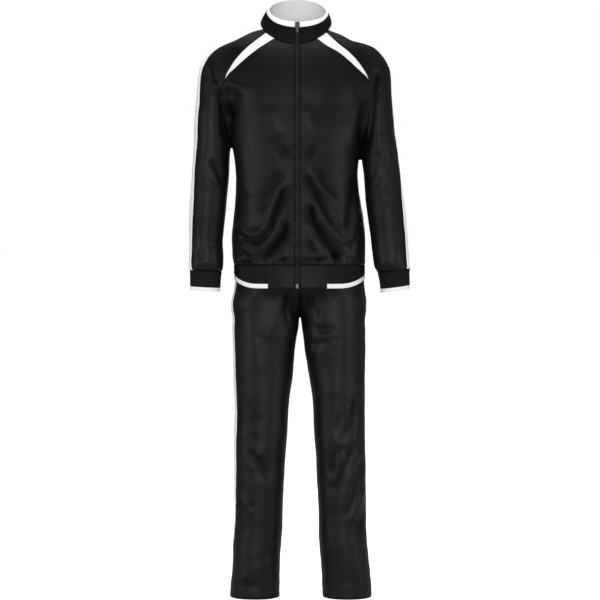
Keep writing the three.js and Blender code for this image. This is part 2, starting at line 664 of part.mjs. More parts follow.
function sleeveRow(side, row) {
  const sign = side === "left" ? -1 : 1;
  const cap = caps[side];
  const arm = arms[side];
  const down = Math.max(row - rowsToArmpit, 0) / rowsOfSleeve;
  const tilt = radians(cap.tilt(row));
  const height = mix(cap.z(row), cuffTop, down);
  const start = at(down > 0 ? arm.middle(height) : cap.x(row), down > 0 ? arm.y(height) : 4, height);
  const axes = {
    out: at(sign * Math.sin(tilt), 0, Math.cos(tilt)),
    turn: at(0, -1, 0),
    along: at(-sign * Math.cos(tilt), 0, Math.sin(tilt)),
  };
  let front;
  let back;
  if (down > 0) {
    const seamHeight = mix(armpits[side].z, cuffTop, down);
    const from = at(arm.middle(seamHeight), arm.y(seamHeight), seamHeight);
    const under = wayOut(jacketForm, from, axes.out.clone().negate());
    front = rowEnd(axes, start, under);
    back = rowEnd(axes, start, under);
  } else {
    front = rowEnd(axes, start, raglanPoint(side, "sleeveFront", row));
    back = rowEnd(axes, start, raglanPoint(side, "back", row));
  }
  front.angle = Math.abs(front.angle);
  back.angle = -Math.abs(back.angle);
  const radius = wayOut(jacketForm, start, axes.out).distanceTo(start);
  const shift = stripeShift[side].shift(row);
  const edge = (offset) => {
    const angle = offset / radius;
    const direction = axes.out.clone().multiplyScalar(Math.cos(angle)).addScaledVector(axes.turn, Math.sin(angle));
    return { start, point: wayOut(jacketForm, start, direction), angle, slope: 0 };
  };
  return { axes, front, frontStripe: edge(shift + sleeveStripe.half), backStripe: edge(shift - sleeveStripe.half), back };
}

function sleevePiece(name, colour, side, columns, firstEdge, secondEdge) {
  const top = sleeveRow(side, 0);
  const rows = rowsToArmpit + rowsOfSleeve;
  const memory = new Map();
  cloth(name, colour, columns, rows, (u, v) => {
    const row = v * rows;
    if (!memory.has(v)) memory.set(v, sleeveRow(side, row));
    const ends = memory.get(v);
    const base = rowPoint(jacketForm, ends.axes, ends[firstEdge], ends[secondEdge], u);
    const neck = rowPoint(jacketForm, top.axes, top[firstEdge], top[secondEdge], u);
    return clothPoint(jacketForm, jacketFolds, base, ontoNeck(neck), neckWeight(row));
  });
}

// Body panels. Rows count down from the neck to the armpit, then on to the hem band.
const reach = curves(bodyReach, "row");

function bodyRow(side, face, row) {
  const sign = side === "left" ? -1 : 1;
  const front = face === "front";
  const down = Math.max(row - rowsToArmpit, 0) / rowsOfSide;
  const up = 1 - Math.min(row, rowsToArmpit) / rowsToArmpit;
  const centreTop = front ? neckRing(0).z : neckRing(Math.PI).z;
  const armpitLevel = (front ? armpits[side].z : Math.min(armpits.left.z, armpits.right.z)) - 4;
  const centreHeight = down > 0 ? mix(armpitLevel, hemTop, down) : mix(armpitLevel, centreTop, up);
  const axes = { out: at(0, front ? -1 : 1, 0), turn: at(sign, 0, 0), along: at(0, 0, 1) };
  const centreX = front ? zipCentre + sign * zipHalf : 0;
  const centreStart = at(centreX, front ? -8 : 8, centreHeight);
  const centre = rowEnd(axes, centreStart, wayOut(jacketForm, centreStart, axes.out));
  let seam;
  if (down > 0) {
    const height = mix(armpits[side].z, hemTop, down);
    const start = at(sign * 92, 5, height);
    seam = rowEnd(axes, start, wayOut(jacketForm, start, at(sign, 0, 0)));
  } else {
    const point = raglanPoint(side, front ? "bodyFront" : "back", row);
    const startY = reach.y(row) * (row < 10 && !front ? -1 : 1);
    const start = at(point.x - sign * reach.inward(row), startY, point.z + reach.above(row));
    seam = rowEnd(axes, start, point);
  }
  return { axes, centre, seam };
}

function bodySkin(side, face, rows) {
  const top = bodyRow(side, face, 0);
  const memory = new Map();
  return (u, v) => {
    const row = v * rows;
    if (!memory.has(v)) memory.set(v, bodyRow(side, face, row));
    const { axes, centre, seam } = memory.get(v);
    const base = rowPoint(jacketForm, axes, centre, seam, u);
    const neck = rowPoint(jacketForm, top.axes, top.centre, top.seam, u);
    return clothPoint(jacketForm, jacketFolds, base, ontoNeck(neck), neckWeight(row));
  };
}

for (const side of ["left", "right"]) {
  const rows = rowsToArmpit + rowsOfSide;
  cloth(`front_${side}`, "black", 11, rows, bodySkin(side, "front", rows));
  sleevePiece(`sleeve_front_${side}`, "black", side, 6, "front", "frontStripe");
  sleevePiece(`sleeve_stripe_${side}`, "white", side, 3, "frontStripe", "backStripe");
  sleevePiece(`sleeve_back_${side}`, "black", side, 6, "backStripe", "back");
}
const backRows = rowsToArmpit + rowsOfSide;
const backHalves = { left: bodySkin("left", "back", backRows), right: bodySkin("right", "back", backRows) };
cloth("back", "black", 16, backRows, (u, v) => (u < 0.5 ? backHalves.left(1 - 2 * u, v) : backHalves.right(2 * u - 1, v)));

// The white inserts lie between the front panels and the sleeves, from the neck to a point at row 8.
for (const side of ["left", "right"]) {
  const rows = 8;
  const lower = raglan[side].bodyFront;
  const upper = raglan[side].sleeveFront;
  const insertBase = (u, row) => {
    const start = at(mix(lower.x(row), upper.x(row), u), 0, mix(lower.z(row), upper.z(row), u));
    return wayOut(jacketForm, start, at(0, -1, 0));
  };
  cloth(`raglan_insert_${side}`, "white", 3, rows, (u, v) => {
    const row = v * rows;
    return clothPoint(jacketForm, jacketFolds, insertBase(u, row), ontoNeck(insertBase(u, 0)), neckWeight(row));
  });
}

// The hem band hangs between two heights that change round the body.
function hemBottom(angle) {
  const front = -Math.sin(angle);
  return 864 - (front > 0 ? 24 : 14) * ease(Math.abs(front) / 0.65);
}
function hemSkin(angles, heights) {
  return (u, v) => {
    const angle = mix(angles[0], angles[1], u);
    const low = hemBottom(angle);
    const height = mix(heights[0](low), heights[1](low), v);
    const base = wayOut(jacketForm, at(0, 0, height), at(Math.cos(angle), Math.sin(angle), 0));
    return { point: base, normal: facing(jacketForm, base).setZ(0).normalize() };
  };
}
function frontAngle(x) {
  const p = wayOut(jacketForm, at(x, 0, 870), at(0, -1, 0));
  return Math.atan2(p.y, p.x);
}
const aroundLeft = frontAngle(-hemPlainReach);
const aroundRight = frontAngle(hemPlainReach) - 2 * Math.PI;
cloth("hem_rib", "rib", 40, 2, hemSkin([aroundLeft, aroundRight], [() => hemTop, (low) => low + hemTipHeight]));
cloth("hem_tip", "white", 40, 1, hemSkin([aroundLeft, aroundRight], [(low) => low + hemTipHeight, (low) => low]));
for (const [side, sign] of [["left", -1], ["right", 1]]) {
  const angles = [frontAngle(zipCentre + sign * zipHalf), frontAngle(sign * hemPlainReach)];
  cloth(`hem_panel_${side}`, "black", 4, 3, hemSkin(angles, [() => hemTop, (low) => low]));
}

// Cuffs
for (const [side, sign] of [["left", -1], ["right", 1]]) {
  const arm = arms[side];
  const climb = Math.tan(radians(90 - caps[side].tilt(rowsToArmpit + rowsOfSleeve)));
  const cuffSkin = (top, bottom) => (u, v) => {
    const angle = u * 2 * Math.PI * sign;
    const height = mix(top, bottom, v);
    const start = at(arm.middle(height), arm.y(height), height);
    const direction = at(Math.cos(angle), Math.sin(angle), climb * sign * Math.cos(angle));
    const base = wayOut((p) => tube(arm, 2.1, p), start, direction);
    return { point: base, normal: facing((p) => tube(arm, 2.1, p), base).setZ(0).normalize() };
  };
  const tipTop = cuffBottom + cuffTipHeight;
  cloth(`cuff_${side}`, "rib", 20, 2, cuffSkin(cuffTop, tipTop), clothWall, true);
  cloth(`cuff_tip_${side}`, "white", 20, 1, cuffSkin(tipTop, cuffBottom), clothWall, true);
}

// The collar stands on the neck seam and narrows toward its top edge.
const collarWall = 1.5;
const collarTopRing = { half: 79, depth: 69, front: 1550, side: 1586, back: 1618 };
const collarSeamLift = 0.3;
function collarPoint(angle, share, inset) {
  const foot = neckRing(angle);
  const side = Math.sin(angle);
  const front = Math.cos(angle);
  const middle = (collarTopRing.front + collarTopRing.back) / 2;
  const rise = (collarTopRing.back - collarTopRing.front) / 2;
  const topHeight = middle - rise * front + (collarTopRing.side - middle) * side * side - 5 * Math.max(side, 0) ** 2;
  const centre = neckSeam.middleX + 4.5 * share;
  const bulge = 2.5 * Math.sin(Math.PI * share);
  const half = mix(neckSeam.half, collarTopRing.half, share) + bulge - inset;
  const depth = mix(neckSeam.depth, collarTopRing.depth, share) + bulge - inset;
  return at(centre + half * side, neckSeam.middleY - depth * front, mix(foot.z + collarSeamLift, topHeight, share));
}
function tipShare(angle) {
  const width = mix(10, 15, ease((Math.cos(angle) - 0.2) / 0.7));
  return 1 - width / 59;
}
// Angle on the collar at a share of its whole way round, from one zip edge round the back to the other.
function collarAngle(way, share, inset) {
  const centre = neckSeam.middleX + 4.5 * share;
  const half = mix(neckSeam.half, collarTopRing.half, share) + 2.5 * Math.sin(Math.PI * share) - inset;
  const edge = (sign) => Math.asin((zipCentre + sign * zipHalf - centre) / half);
  return mix(edge(1), 2 * Math.PI + edge(-1), way);
}
function collarSkin(ways, levels, inset) {
  return (u, v) => {
    const way = mix(ways[0], ways[1], u);
    const tip = tipShare(collarAngle(way, 0.8, inset));
    const place = v * (levels.length - 1);
    const low = Math.min(Math.floor(place), levels.length - 2);
    const share = mix(levels[low](tip), levels[low + 1](tip), place - low);
    const angle = collarAngle(way, share, inset);
    const point = collarPoint(angle, share, inset);
    const ahead = collarPoint(angle + 0.01, share, inset).sub(collarPoint(angle - 0.01, share, inset));
    const normal = at(ahead.y, -ahead.x, 0).normalize();
    if (normal.dot(at(point.x + 4, point.y + 5, 0)) < 0) normal.negate();
    return { point, normal };
  };
}
const foot = () => 0;
const middle = (tip) => tip / 2;
const underBand = (tip) => tip;
const rim = () => 1;
cloth("collar_right", "rib", 20, 2, collarSkin([0, 0.5], [foot, middle, underBand], 0), collarWall);
cloth("collar_left", "rib", 20, 2, collarSkin([0.5, 1], [foot, middle, underBand], 0), collarWall);
cloth("collar_band", "white", 40, 1, collarSkin([0, 1], [underBand, rim], 0), collarWall);
const liningInset = collarWall + seamGap;
cloth("collar_lining", "white", 40, 3, collarSkin([0, 1], [foot, middle, underBand, rim], liningInset), collarWall);

// Zip tapes lie between the front edges, from the hem to just under the top of the collar.
const zipTop = 1541.5;
const tapeWall = 1.2;
const tapeSink = 0.4;
const zipSteps = 30;
const collarFoot = neckRing(0).z;
function zipPoint(x, height) {
  if (height <= collarFoot) {
    const start = at(x, -8, height);
    const base = wayOut(jacketForm, start, at(0, -1, 0));
    return clothPoint(jacketForm, jacketFolds, base, at(0, 0, 0), 0);
  }
  const share = (height - collarFoot) / (collarTopRing.front - collarFoot);
  const half = mix(neckSeam.half, collarTopRing.half, share);
  const angle = Math.asin((x - neckSeam.middleX - 4.5 * share) / half);
  return { point: collarPoint(angle, share, 0).setX(x).setZ(height), normal: at(0, -1, 0) };
}
for (const [side, sign] of [["left", -1], ["right", 1]]) {
  cloth(`zip_tape_${side}`, "zip", 1, zipSteps, (u, v) => {
    const low = hemBottom(-Math.PI / 2) + 13;
    const { point, normal } = zipPoint(zipCentre + sign * zipHalf * u, mix(low, zipTop, v));
    return { point: point.addScaledVector(normal, -tapeSink), normal };
  }, tapeWall);
}

// A solid from a flat outline, with an optional hole, made so thick and centred on its own middle.
function slab(outline, hole, thick) {
  const shape = new THREE.Shape(outline.map(([a, b]) => new THREE.Vector2(a, b)));
  if (hole) shape.holes.push(new THREE.Path(hole.map(([a, b]) => new THREE.Vector2(a, b))));
  const geometry = new THREE.ExtrudeGeometry(shape, { depth: thick, bevelEnabled: false });
  return geometry.translate(0, 0, -thick / 2);
}

// The slider grips the tapes under the top of the collar. Its arch holds the eye of the pull tab.
// Its own frame: x across, y out from the wearer, z up; the zip leans back with the collar.
const slider = { width: 10, height: 14, plate: 1.6, gap: 0.7, back: 1, arch: 2.4, archReach: 3.6, archBar: 1.3 };
const pull = { width: 7, length: 18, thick: 1.2, bar: 1.3, eyeWidth: 3.6, eyeEnd: 4.1 };
const sliderMiddle = 1538;
const hingeUp = -2;
const hingeOut = slider.plate + (slider.archReach - slider.archBar) / 2;
const tapeFace = (height) => zipPoint(zipCentre, height).point.y + tapeSink;
const zipLean = Math.atan2(tapeFace(1545) - tapeFace(1531), 14);

function placed(geometry) {
  geometry.rotateX(-zipLean);
  return geometry.translate(zipCentre, tapeFace(sliderMiddle) - slider.gap, sliderMiddle - neckHeight);
}
const wasm = await Module();
wasm.setup();
function toSolid(geometry) {
  const merged = mergeVertices(geometry.deleteAttribute("normal").deleteAttribute("uv"), 1e-4);
  return new wasm.Manifold(new wasm.Mesh({
    numProp: 3,
    vertProperties: merged.attributes.position.array,
    triVerts: new Uint32Array(merged.index.array),
  }));
}
function toGeometry(solid) {
  const mesh = solid.getMesh();
  const geometry = new THREE.BufferGeometry();
  geometry.setAttribute("position", new THREE.BufferAttribute(Float32Array.from(mesh.vertProperties), 3));
  geometry.setIndex(Array.from(mesh.triVerts));
  geometry.computeVertexNormals();
  return geometry;
}
function box(width, depth, height, x, y, z) {
  return new THREE.BoxGeometry(width, depth, height).translate(x, y, z);
}

const halfHigh = slider.height / 2;
const tapeRoom = tapeWall + 2 * slider.gap;
const archLow = -4.5;
const archHigh = 4.5;
const archMiddle = (archLow + archHigh) / 2;
const archOpening = archHigh - archLow - 2 * slider.archBar;
const faceCut = 1.2;
const facePlate = slab(
  [
    [-slider.width / 2 + faceCut, -halfHigh],
    [slider.width / 2 - faceCut, -halfHigh],
    [slider.width / 2, -halfHigh + faceCut],
    [slider.width / 2, halfHigh - faceCut],
    [slider.width / 2 - faceCut, halfHigh],
    [-slider.width / 2 + faceCut, halfHigh],
    [-slider.width / 2, halfHigh - faceCut],
    [-slider.width / 2, -halfHigh + faceCut],
  ],
  null,
  slider.plate,
).rotateX(Math.PI / 2).translate(0, -slider.plate / 2, 0);
const archSolid = box(slider.arch, slider.archReach + 0.2, archHigh - archLow,
  0, -slider.plate - slider.archReach / 2 + 0.1, archMiddle);
const archHole = box(slider.arch + 2, slider.archReach - slider.archBar, archOpening,
  0, -slider.plate - (slider.archReach - slider.archBar) / 2, archMiddle);
const backPlate = box(slider.width - 1, slider.back, slider.height, 0, tapeRoom + slider.back / 2, 0);
const post = box(3, tapeRoom + slider.back, 1.6, 0, (tapeRoom + slider.back) / 2 - 0.1, halfHigh - 0.8);
const arch = toSolid(archSolid).subtract(toSolid(archHole));
const sliderSolid = toSolid(facePlate).add(arch).add(toSolid(backPlate)).add(toSolid(post));
add("zip_slider", "zip", placed(toGeometry(sliderSolid)), 0.4, 0.6);

const pullCorner = 1;
const pullTop = pull.bar / 2;
const pullEnd = pullTop - pull.length;
const pullShape = slab(
  [
    [-pull.width / 2 + pullCorner, pullEnd],
    [pull.width / 2 - pullCorner, pullEnd],
    [pull.width / 2, pullEnd + pullCorner],
    [pull.width / 2 - 0.4, pullTop],
    [-pull.width / 2 + 0.4, pullTop],
    [-pull.width / 2, pullEnd + pullCorner],
  ],
  [
    [-pull.eyeWidth / 2, -pull.bar / 2],
    [pull.eyeWidth / 2, -pull.bar / 2],
    [pull.eyeWidth / 2, -pull.eyeEnd],
    [-pull.eyeWidth / 2, -pull.eyeEnd],
  ],
  pull.thick,
).rotateX(Math.PI / 2).translate(0, -hingeOut, hingeUp);
add("zip_pull", "zip", placed(pullShape), 0.4, 0.6);

// The box at the foot of the zip
const boxSize = { width: 7, depth: 2.6, height: 12 };
const hemFoot = hemBottom(-Math.PI / 2);
const boxY = zipPoint(zipCentre, hemFoot + 6).point.y - boxSize.depth / 2 - 0.1;
add("zip_box", "silver", box(boxSize.width, boxSize.depth, boxSize.height, zipCentre, boxY, hemFoot + 6.5 - neckHeight),
  0.3, 0.9);

// Trousers. Rows 0 to 12 come down to the crotch, the rest go down the leg.
const rise = curves(riseRows, "row");
const middles = curves(hipMiddles, "row");
const legShift = { left: curves(legStripe.left, "row"), right: curves(legStripe.right, "row") };
const riseX = (height) => mix(8, 5, ease((height - 780) / 200));

function risePoint(towards, row) {
  const dip = radians(rise.dip(row));
  const height = rise.z(row);
  return wayOut(trouserForm, at(riseX(height), 0, height), at(0, towards * Math.cos(dip), -Math.sin(dip)));
}
const crotch = risePoint(1, rowsToCrotch);

function legRow(side, row) {
  const sign = side === "left" ? -1 : 1;
  const leg = legs[side];
  const down = Math.max(row - rowsToCrotch, 0) / rowsOfLeg;
  const axes = { out: at(sign, 0, 0), turn: at(0, -1, 0), along: at(0, 0, 1) };
  const height = mix(middles.z(row), 0, down);
  const reachX = mix(riseX(height), leg.middle(Math.min(height, 800)), middles.reach(row));
  const start = at(down > 0 ? leg.middle(height) : reachX, down > 0 ? leg.y(height) : 0, height);
  let front;
  let back;
  if (down > 0) {
    const seamHeight = mix(crotch.z, 0, down);
    const from = at(leg.middle(seamHeight), leg.y(seamHeight), seamHeight);
    const inside = wayOut(trouserForm, from, at(-sign, 0, 0));
    front = rowEnd(axes, start, inside);
    back = rowEnd(axes, start, inside);
  } else {
    front = rowEnd(axes, start, risePoint(-1, row));
    back = rowEnd(axes, start, risePoint(1, row));
  }
  front.angle = Math.abs(front.angle);
  back.angle = -Math.abs(back.angle);
  const radius = wayOut(trouserForm, start, axes.out).distanceTo(start);
  const shift = legShift[side].shift(row);
  const edge = (offset) => {
    const angle = offset / radius;
    const direction = axes.out.clone().multiplyScalar(Math.cos(angle)).addScaledVector(axes.turn, Math.sin(angle));
    return { start, point: wayOut(trouserForm, start, direction), angle, slope: 0 };
  };
  return { axes, front, frontStripe: edge(shift + legStripe.half), backStripe: edge(shift - legStripe.half), back };
}

function legPiece(name, colour, side, columns, firstEdge, secondEdge) {
  const rows = rowsToCrotch + rowsOfLeg;
  const memory = new Map();
  cloth(name, colour, columns, rows, (u, v) => {
    if (!memory.has(v)) memory.set(v, legRow(side, v * rows));
    const ends = memory.get(v);
    const base = rowPoint(trouserForm, ends.axes, ends[firstEdge], ends[secondEdge], u);
    return clothPoint(trouserForm, trouserFolds, base, null, 0);
  });
}
for (const side of ["left", "right"]) {
  legPiece(`leg_front_${side}`, "black", side, 7, "front", "frontStripe");
  legPiece(`leg_stripe_${side}`, "white", side, 2, "frontStripe", "backStripe");
  legPiece(`leg_back_${side}`, "black", side, 7, "backStripe", "back");
}
cloth("waistband", "black", 28, 1, (u, v) => {
  const angle = u * 2 * Math.PI;
  const height = waistHeight + v * waistbandHeight;
  const base = wayOut(trouserForm, at(5, 0, height), at(Math.cos(angle), Math.sin(angle), 0));
  return { point: base, normal: facing(trouserForm, base).setZ(0).normalize() };
}, clothWall, true);

export default whole;
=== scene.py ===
import math

import bmesh
import bpy
import numpy as np
from mathutils import Matrix, Vector
from mathutils.bvhtree import BVHTree


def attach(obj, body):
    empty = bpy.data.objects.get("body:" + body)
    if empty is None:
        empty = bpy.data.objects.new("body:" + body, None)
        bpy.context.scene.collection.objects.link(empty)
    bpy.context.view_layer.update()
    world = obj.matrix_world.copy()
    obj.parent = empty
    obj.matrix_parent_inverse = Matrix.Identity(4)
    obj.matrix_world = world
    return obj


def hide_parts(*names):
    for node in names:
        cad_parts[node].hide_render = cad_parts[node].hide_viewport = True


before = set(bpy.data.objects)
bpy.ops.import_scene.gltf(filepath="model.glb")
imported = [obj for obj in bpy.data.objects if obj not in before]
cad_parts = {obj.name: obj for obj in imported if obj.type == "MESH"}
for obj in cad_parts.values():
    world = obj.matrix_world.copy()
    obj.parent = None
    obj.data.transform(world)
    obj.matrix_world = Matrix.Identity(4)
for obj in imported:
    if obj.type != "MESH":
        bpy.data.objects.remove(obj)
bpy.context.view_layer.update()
draw = np.random.default_rng(12)

# A zip jacket and trousers, filled as on their wearer. Heights are in millimetres above the trouser hem until
# a piece is finished, then in metres from the neck seam. Left and right are as seen from the front.
garment = {
    "neckHeight": 1525, "hemTop": 902, "hemTipHeight": 12, "hemPlainReach": 79,
    "cuffTop": 886, "cuffBottom": 832, "cuffTipHeight": 10, "waistHeight": 1033, "waistbandHeight": 36,
    "zipCentre": -0.5, "zipHalf": 6, "rowsToArmpit": 14, "rowsOfSleeve": 10, "rowsOfSide": 11,
    "rowsToCrotch": 12, "rowsOfLeg": 14, "rowsOfInsert": 8, "clothThick": 0.0012, "ribThick": 0.0016,
    "ribRise": 0.32,  # how far the ribs of the knit stand up, in millimetres
    "bodyRoundness": 2.3, "limbRoundness": 2.1,  # powers of the rounded level sections
}
signs = {"left": -1, "right": 1}

# level sections of the jacket, the sleeves and the trousers, in millimetres above the trouser hem
torsoRows = {
    "z": [800, 902, 925, 967, 1021, 1075, 1129, 1183, 1210, 1277, 1345, 1399, 1453, 1480, 1495, 1507,
        1523, 1539, 1550, 1560, 1580],
    "middle": [6, 5, 3, 2.7, 2.4, 0.5, -0.8, -1.6, -1.6, 0, 0, 0, -2, -3, -4, -5, -5, -7, -9, -7, -4],
    "half": [177, 176.5, 178.5, 179.6, 175.5, 169, 164, 168, 173, 183, 188, 190, 190, 190, 186, 178, 153,
        132, 107, 88, 50],
    "front": [118, 119, 124, 123, 121, 120, 122, 126, 128, 131, 130, 122, 105, 93, 82, 71, 55, 34, 20,
        14, 12],
    "back": [114, 115, 119, 115, 110, 108, 110, 115, 119, 124, 125, 122, 113, 107, 103, 99, 93, 86, 80,
        74, 45],
}

hipRows = {
    "z": [690, 795, 826, 848, 902, 960, 1033, 1075],
    "middle": [3.7, 3.7, 5.4, 6, 5, 5, 5, 5],
    "half": [180, 180, 175.5, 173.3, 171.5, 162, 147, 143],
    "front": [111, 112, 113, 114, 114, 112, 106, 103],
    "back": [115, 114, 110, 110, 110, 108, 96, 93],
}

armRows = {
    "left": {
        "z": [832, 884, 892, 913, 967, 1021, 1075, 1129, 1183, 1210, 1277, 1345, 1399, 1426, 1453, 1474,
            1488, 1497, 1503, 1512],
        "middle": [-247.5, -246, -245.5, -245, -246, -243.5, -240, -235.5, -232.4, -231, -226, -220,
            -212, -206, -196, -187, -180, -173, -168, -160],
        "half": [40.5, 42.5, 45.5, 46.8, 45.3, 48, 50, 49.8, 49.6, 50, 52.5, 55, 57, 57.5, 55, 49, 41,
            30, 14, 2],
        "y": [-45, -43, -42, -40, -31, -20, -10, -2, 3, 5, 6, 6, 6, 5, 4, 3, 2, 2, 2, 2],
        "depth": [38, 41, 48, 56, 60, 62, 65, 67, 69, 70, 71, 70, 67, 63, 56, 46, 35, 24, 10, 2],
    },
    "right": {
        "z": [832, 884, 892, 913, 967, 1021, 1075, 1129, 1183, 1210, 1277, 1345, 1399, 1426, 1453, 1474,
            1488, 1498, 1504, 1512],
        "middle": [262, 257.5, 256.5, 253.6, 247.7, 241, 235.5, 229, 222, 219, 209, 202, 196, 191, 183,
            175, 169, 160, 155, 150],
        "half": [39.5, 43, 46, 47.8, 49.5, 51, 52, 50, 49.7, 50, 52, 54, 56, 57, 53, 48, 41, 29, 13, 2],
        "y": [-45, -43, -42, -40, -31, -20, -10, -2, 3, 5, 6, 6, 6, 5, 4, 3, 2, 2, 2, 2],
        "depth": [38, 41, 48, 56, 60, 62, 65, 67, 69, 70, 71, 70, 67, 63, 56, 46, 35, 24, 10, 2],
    },
}

legRows = {
    "left": {
        "z": [0, 92, 221, 351, 416, 481, 545, 610, 675, 740, 800, 860, 1080],
        "middle": [-115, -112, -106.5, -102.8, -101, -98.8, -95.5, -93, -90.3, -86.5, -84, -80, -70],
        "half": [67, 65, 65.5, 68.8, 71, 72.8, 75.5, 80, 83.8, 89.5, 90, 76, 50],
        "y": [10, 6, 1, -4, -5, -3, 0, 2, 2, 1, 0, 0, 0],
        "depth": [72, 72, 73, 74, 76, 78, 83, 88, 93, 96, 95, 78, 50],
    },
    "right": {
        "z": [0, 92, 157, 221, 286, 351, 416, 481, 545, 610, 675, 740, 800, 860, 1080],
        "middle": [134.5, 129.5, 124, 120.8, 119.3, 118.8, 115.5, 112.5, 111, 106.5, 100.5, 97.5, 93, 88,
            80],
        "half": [65.5, 66.5, 65, 64.3, 64.8, 67.3, 68, 69.5, 71, 75.5, 82.5, 86, 89, 76, 50],
        "y": [10, 6, 3, 1, -2, -4, -5, -3, 0, 2, 2, 1, 0, 0, 0],
        "depth": [72, 72, 73, 73, 74, 74, 76, 78, 83, 88, 93, 96, 95, 78, 50],
    },
}

# the raglan seams by row from the neck, where a ray goes out of (x, z) level or dips by so many degrees
raglanSeams = {
    "left": {
        "sleeveFront": {
            "row": [0, 1.6, 3, 4.4, 6, 8, 9, 10, 11, 12, 13, 14],
            "x": [-85, -109, -130, -150, -170.4, -193.4, -201, -200.5, -192, -184, -180, -180],
            "z": [1523, 1503, 1486, 1467.5, 1443, 1399.5, 1370, 1334, 1288, 1258, 1250, 1248],
            "dip": [0, 0, 0, 0, 0, 0, 0, 0, 0, 16, 52, 90],
        },
        "bodyFront": {
            "row": [0, 1.3, 3.3, 6.1, 8, 9, 10, 11, 12, 13, 14],
            "x": [-62, -84.6, -121, -166.4, -192.9, -201, -200.5, -192, -184, -180, -180],
            "z": [1506.5, 1492.3, 1466.5, 1427.7, 1398.7, 1370, 1334, 1288, 1258, 1250, 1248],
            "dip": [0, 0, 0, 0, 0, 0, 0, 0, 16, 52, 90],
        },
        "back": {
            "row": [0, 2, 4, 6, 8, 9, 10, 11, 12, 13, 14],
            "x": [-52, -82, -116, -150, -180, -191, -197, -193, -184, -180, -180],
            "z": [1557, 1533, 1503, 1466, 1418, 1386, 1346, 1298, 1262, 1250, 1248],
            "dip": [0, 0, 0, 0, 0, 0, 0, 0, 16, 52, 90],
        },
    },
    "right": {
        "sleeveFront": {
            "row": [0, 2, 4, 6, 8, 9, 10, 11, 12, 13, 14],
            "x": [78.3, 111.6, 140, 164.6, 190, 198, 196, 186, 175, 171, 171],
            "z": [1523, 1490, 1467.5, 1440.6, 1397.5, 1368, 1330, 1280, 1248, 1238, 1236],
            "dip": [0, 0, 0, 0, 0, 0, 0, 0, 16, 52, 90],
        },
        "bodyFront": {
            "row": [0, 1.5, 3.2, 4.8, 6.6, 8, 9, 10, 11, 12, 13, 14],
            "x": [52.4, 78.6, 111.3, 135.8, 164.4, 189.5, 198, 196, 186, 175, 171, 171],
            "z": [1506.5, 1486.6, 1467.8, 1448.2, 1421.9, 1396.7, 1368, 1330, 1280, 1248, 1238, 1236],
            "dip": [0, 0, 0, 0, 0, 0, 0, 0, 0, 16, 52, 90],
        },
        "back": {
            "row": [0, 2, 4, 6, 8, 9, 10, 11, 12, 13, 14],
            "x": [44, 74, 108, 142, 173, 184, 189, 185, 175, 171, 171],
            "z": [1557, 1533, 1503, 1466, 1418, 1384, 1340, 1288, 1250, 1238, 1236],
            "dip": [0, 0, 0, 0, 0, 0, 0, 0, 16, 52, 90],
        },
    },
}

capRows = {
    "left": {
        "row": [0, 2, 4, 6, 8, 10, 12, 14, 19, 24],
        "x": [-70, -95, -125, -152, -178, -205, -222, -231, -231, -231],
        "z": [1482, 1462, 1440, 1412, 1380, 1330, 1264, 1208, 1208, 1208],
        "tilt": [8, 22, 33, 45, 57, 70, 82, 90, 89.5, 87],
    },
    "right": {
        "row": [0, 2, 4, 6, 8, 10, 12, 14, 19, 24],
        "x": [62, 86, 114, 140, 164, 190, 207, 219, 219, 219],
        "z": [1482, 1462, 1440, 1412, 1380, 1328, 1264, 1200, 1200, 1200],
        "tilt": [8, 22, 33, 45, 57, 70, 81, 90, 89, 82.5],
    },
}

sleeveStripe = {
    "half": 28,
    "left": {
        "row": [0, 3.5, 5, 7, 9, 10.5, 12, 15, 18, 20, 22, 24],
        "shift": [18, 21, 14, 3, 9, 16, 15, 10, 13, 10, 6, 1],
    },
    "right": {
        "row": [0, 1.5, 3.5, 5, 6.2, 7.5, 10, 15, 16.5, 18, 22, 24],
        "shift": [20, 26, 31, 15, 0, -15, -22, -17, -8, 3, 4, 1],
    },
}

legStripe = {
    "half": 25,
    "left": {
        "row": [0, 10, 13, 19, 22, 26],
        "shift": [0, 6, 10, 9, -3, -16],
    },
    "right": {
        "row": [0, 26],
        "shift": [-20, -20],
    },
}

bodyReach = {
    "row": [0, 4, 10, 11, 12, 13, 14],
    "inward": [10, 20, 30, 36, 43, 56, 81],
    "above": [-6, 0, 0, 0, 4, 5, -2],
    "y": [-5, 0, 3, 3, 4, 5, 5],
}

riseRows = {
    "row": [0, 3, 6, 8, 10, 12],
    "z": [1033, 965, 900, 876, 869, 868],
    "dip": [0, 0, 0, 14, 45, 90],
}

hipMiddles = {
    "row": [0, 3, 6, 8, 10, 12],
    "reach": [0.45, 0.5, 0.62, 0.75, 0.9, 1],
    "z": [1033, 965, 900, 862, 815, 775],
}

